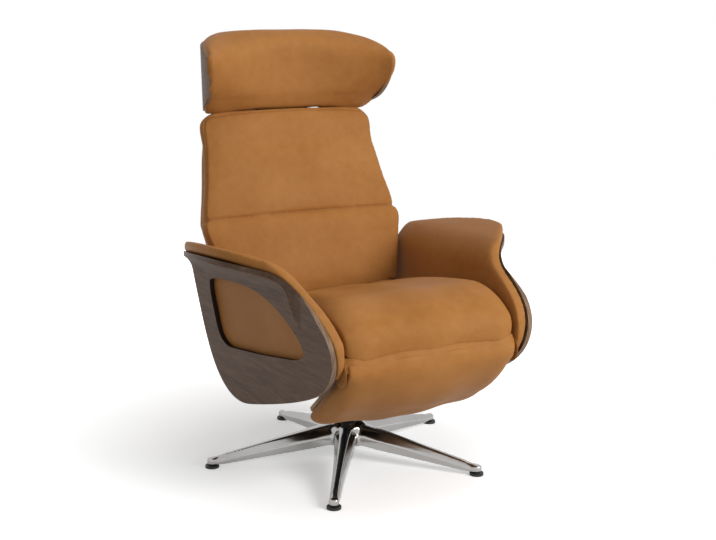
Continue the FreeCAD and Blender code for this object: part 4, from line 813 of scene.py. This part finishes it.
def seam_round():
    """The seam round the back's front panel, up one side, over the top and down the other."""
    rise = SIDE_LINE + TOP_LINE
    line = [back_spot(-x, -d, u) for u, x, d in rise]
    line += [back_spot(x, -d, u) for u, x, d in (TOP_MIDDLE,) + tuple(reversed(rise))]
    return curve_points(line)


def make_cushions():
    """All the soft pieces: simulated together, then pressed along their seams and sewn."""
    soft = {row[0]: Soft(*row) for row in SOFT}
    for step in range(1, Soft.STEPS + 1):
        bpy.context.scene.frame_set(step)
    for item in soft.values():
        item.settle()
    bpy.context.scene.frame_set(1)

    back = soft["back_cushion"]
    tree = tree_of(back.mesh)
    across = lay_on(seam_across(), tree)
    panel = lay_on(seam_round(), tree)
    back.press(across, -0.0020, 0.011)
    back.press(across, 0.0024, SEAM_WIDTH, 0.0004)
    back.press(panel, 0.0022, SEAM_WIDTH, 0.0003)
    for node, item in soft.items():
        piece = item.finish(LEATHER)
        if node == "headrest_cushion":
            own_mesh(piece)
    tree = tree_of(back.mesh)
    for i, offset in enumerate((STITCH_OFFSET, -STITCH_OFFSET)):
        stitches("back_seam_stitches_%d" % i, across, tree, offset, "back")
    stitches("back_panel_stitches", panel, tree, -STITCH_OFFSET, "back")
    return soft


# The strip of leather over the legrest's hinge
FLAP_COUNT = 90         # sections across
FLAP_ROWS = 11          # points down its face
FLAP_TOP, FLAP_FOOT = 0.404, 0.370
FLAP_HALF = 0.2335
FLAP_PROBE = 0.218      # half the width over which the cushions' fronts are read
FLAP_BEHIND = 0.0035    # how far its top starts behind the seat's front
FLAP_UNDER = 0.0008     # how far its foot ends under the legrest's front
FLAP_CROWN = 0.0022
FLAP_THICK = 0.0040
FLAP_TUCK = 0.010       # how far its ends turn back
FRONT = -0.430


def front_of(piece, height):
    """How far forward a soft piece comes at one height, across its width, evened out."""
    tree = tree_of(piece.mesh)
    out = []
    for i in range(FLAP_COUNT + 1):
        x = FLAP_PROBE * (2 * i / FLAP_COUNT - 1)
        spot = tree.ray_cast(Vector((x, -0.6, height)), Vector((0, 1, 0)), 0.4)[0]
        out.append(spot.y if spot else out[-1] if out else FRONT)
    out = np.pad(np.array(out), 4, mode="edge")
    return np.convolve(out, np.full(9, 1 / 9), mode="valid")


def hinge_flap(soft):
    """The strip that joins the seat's front lip to the legrest."""
    above = front_of(soft["seat_cushion"], FLAP_TOP)
    below = front_of(soft["legrest_pad"], FLAP_FOOT)
    verts = []
    for i in range(FLAP_COUNT + 1):
        x = FLAP_HALF * (2 * i / FLAP_COUNT - 1)
        tuck = FLAP_TUCK * float(ease(np.array(abs(x)), 0.212, 0.2340))
        face = []
        for t in np.linspace(0, 1, FLAP_ROWS):
            y = above[i] + FLAP_BEHIND + (below[i] - above[i] + FLAP_UNDER - FLAP_BEHIND) * t
            face.append((x, y - FLAP_CROWN * math.sin(math.pi * t) + tuck,
                         FLAP_TOP + (FLAP_FOOT - FLAP_TOP) * t))
        verts += face + [(x, y + FLAP_THICK, z) for x, y, z in reversed(face)]
    mesh = bpy.data.meshes.new("hinge_flap_leather")
    mesh.from_pydata(verts, [], tube_faces(FLAP_COUNT + 1, 2 * FLAP_ROWS))
    mesh = with_modifier(mesh, "SUBSURF", levels=1)
    piece = new_piece("hinge_flap_leather", mesh, LEATHER, None)
    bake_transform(piece)


# The leather discs over the hinge's ends: radius and place outwards of each ring
CHEEK = ((0.0, 0.2350), (0.012, 0.2350), (0.022, 0.2349), (0.0285, 0.2345), (0.0315, 0.2338),
         (0.0322, 0.2331), (0.0315, 0.2325), (0.027, 0.2323), (0.0, 0.2323))
CHEEK_SIDES = 48
CHEEK_FRONT, CHEEK_TOP = -0.4355, 0.392


def hinge_cheek(name, side):
    """The leather disc on the legrest's end, over its hinge, cut level with its front and top."""
    outer = CHEEK[0][1]
    verts, faces = [], []
    for radius, x in CHEEK:
        for k in range(CHEEK_SIDES):
            angle = 2 * math.pi * k / CHEEK_SIDES
            verts.append((side * x, max(HINGE_Y + radius * math.cos(angle), CHEEK_FRONT + (outer - x)),
                          min(HINGE_Z + radius * math.sin(angle), CHEEK_TOP)))
    for i in range(len(CHEEK) - 1):
        for k in range(CHEEK_SIDES):
            p = i * CHEEK_SIDES
            q = (k + 1) % CHEEK_SIDES
            ring = (p + k, p + q, p + CHEEK_SIDES + q, p + CHEEK_SIDES + k)
            faces.append(ring if side < 0 else tuple(reversed(ring)))
    mesh = bpy.data.meshes.new(name)
    mesh.from_pydata(verts, [], faces)
    work = bmesh.new()
    work.from_mesh(mesh)
    bmesh.ops.remove_doubles(work, verts=work.verts, dist=1e-6)
    bmesh.ops.recalc_face_normals(work, faces=work.faces)
    work.to_mesh(mesh)
    work.free()
    new_piece(name, mesh, LEATHER, "legrest")


CAST_VOXEL = 0.0022
CAST_ROUNDS = 34
CAST_EDGE = 0.16        # how much a leg's edges give; its toe and the hub give wholly


def cast_base(material):
    """The die-cast star, with the rounded edges and blended toes that a mould leaves."""
    mesh = with_modifier(frame["nodes"]["star_base"].data.copy(), "REMESH", mode="VOXEL",
                         voxel_size=CAST_VOXEL)
    points = points_of(mesh)
    edges = edges_of(mesh)
    reach = np.hypot(points[:, 0], points[:, 1])
    whole = np.maximum(ease(reach, 0.325, 0.345), 1 - ease(reach, 0.06, 0.10))
    points = relax(points, edges, 3, push=STEP_OUT)
    points = relax(points, edges, CAST_ROUNDS, CAST_EDGE + (1 - CAST_EDGE) * whole)
    set_points(mesh, points)
    piece = new_piece("star_base_cast", mesh, material, "base")
    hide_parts("star_base")


def dress_nodes(paints, headrest):
    """A procedural finish on every CAD node, by its material slot."""
    for row in frame["record"]["subparts"]:
        materials = frame["nodes"][row["node"]].data.materials
        materials.clear()
        materials.append(headrest if row["node"] == "headrest_shell" else paints[row["material_slot"]])


make_camera()
make_stage()
LEATHER = leather_paint()
THREAD = thread_paint()
cushions = make_cushions()
PAINTS = {
    "plywood": plywood_paint(),
    "polished_metal": polished_paint(),
    "black_steel": powder_paint(),
    "bright_steel": steel_paint(),
    "black_plastic": plastic_paint("black_nylon", (0.012, 0.012, 0.012, 1), (0.035, 0.035, 0.035, 1)),
    "bearing_plastic": plastic_paint("acetal", (0.62, 0.61, 0.57, 1), (0.74, 0.73, 0.69, 1)),
    "leather": LEATHER,
    "walnut": walnut_paint("arm_walnut", (14.0, 1.0, 14.0), arm_edge),
}
hinge_flap(cushions)
hinge_cheek("hinge_cheek_left", 1)
hinge_cheek("hinge_cheek_right", -1)
cast_base(PAINTS["polished_metal"])
dress_nodes(PAINTS, walnut_paint("head_walnut", (1.0, 1.0, 14.0), head_edge))
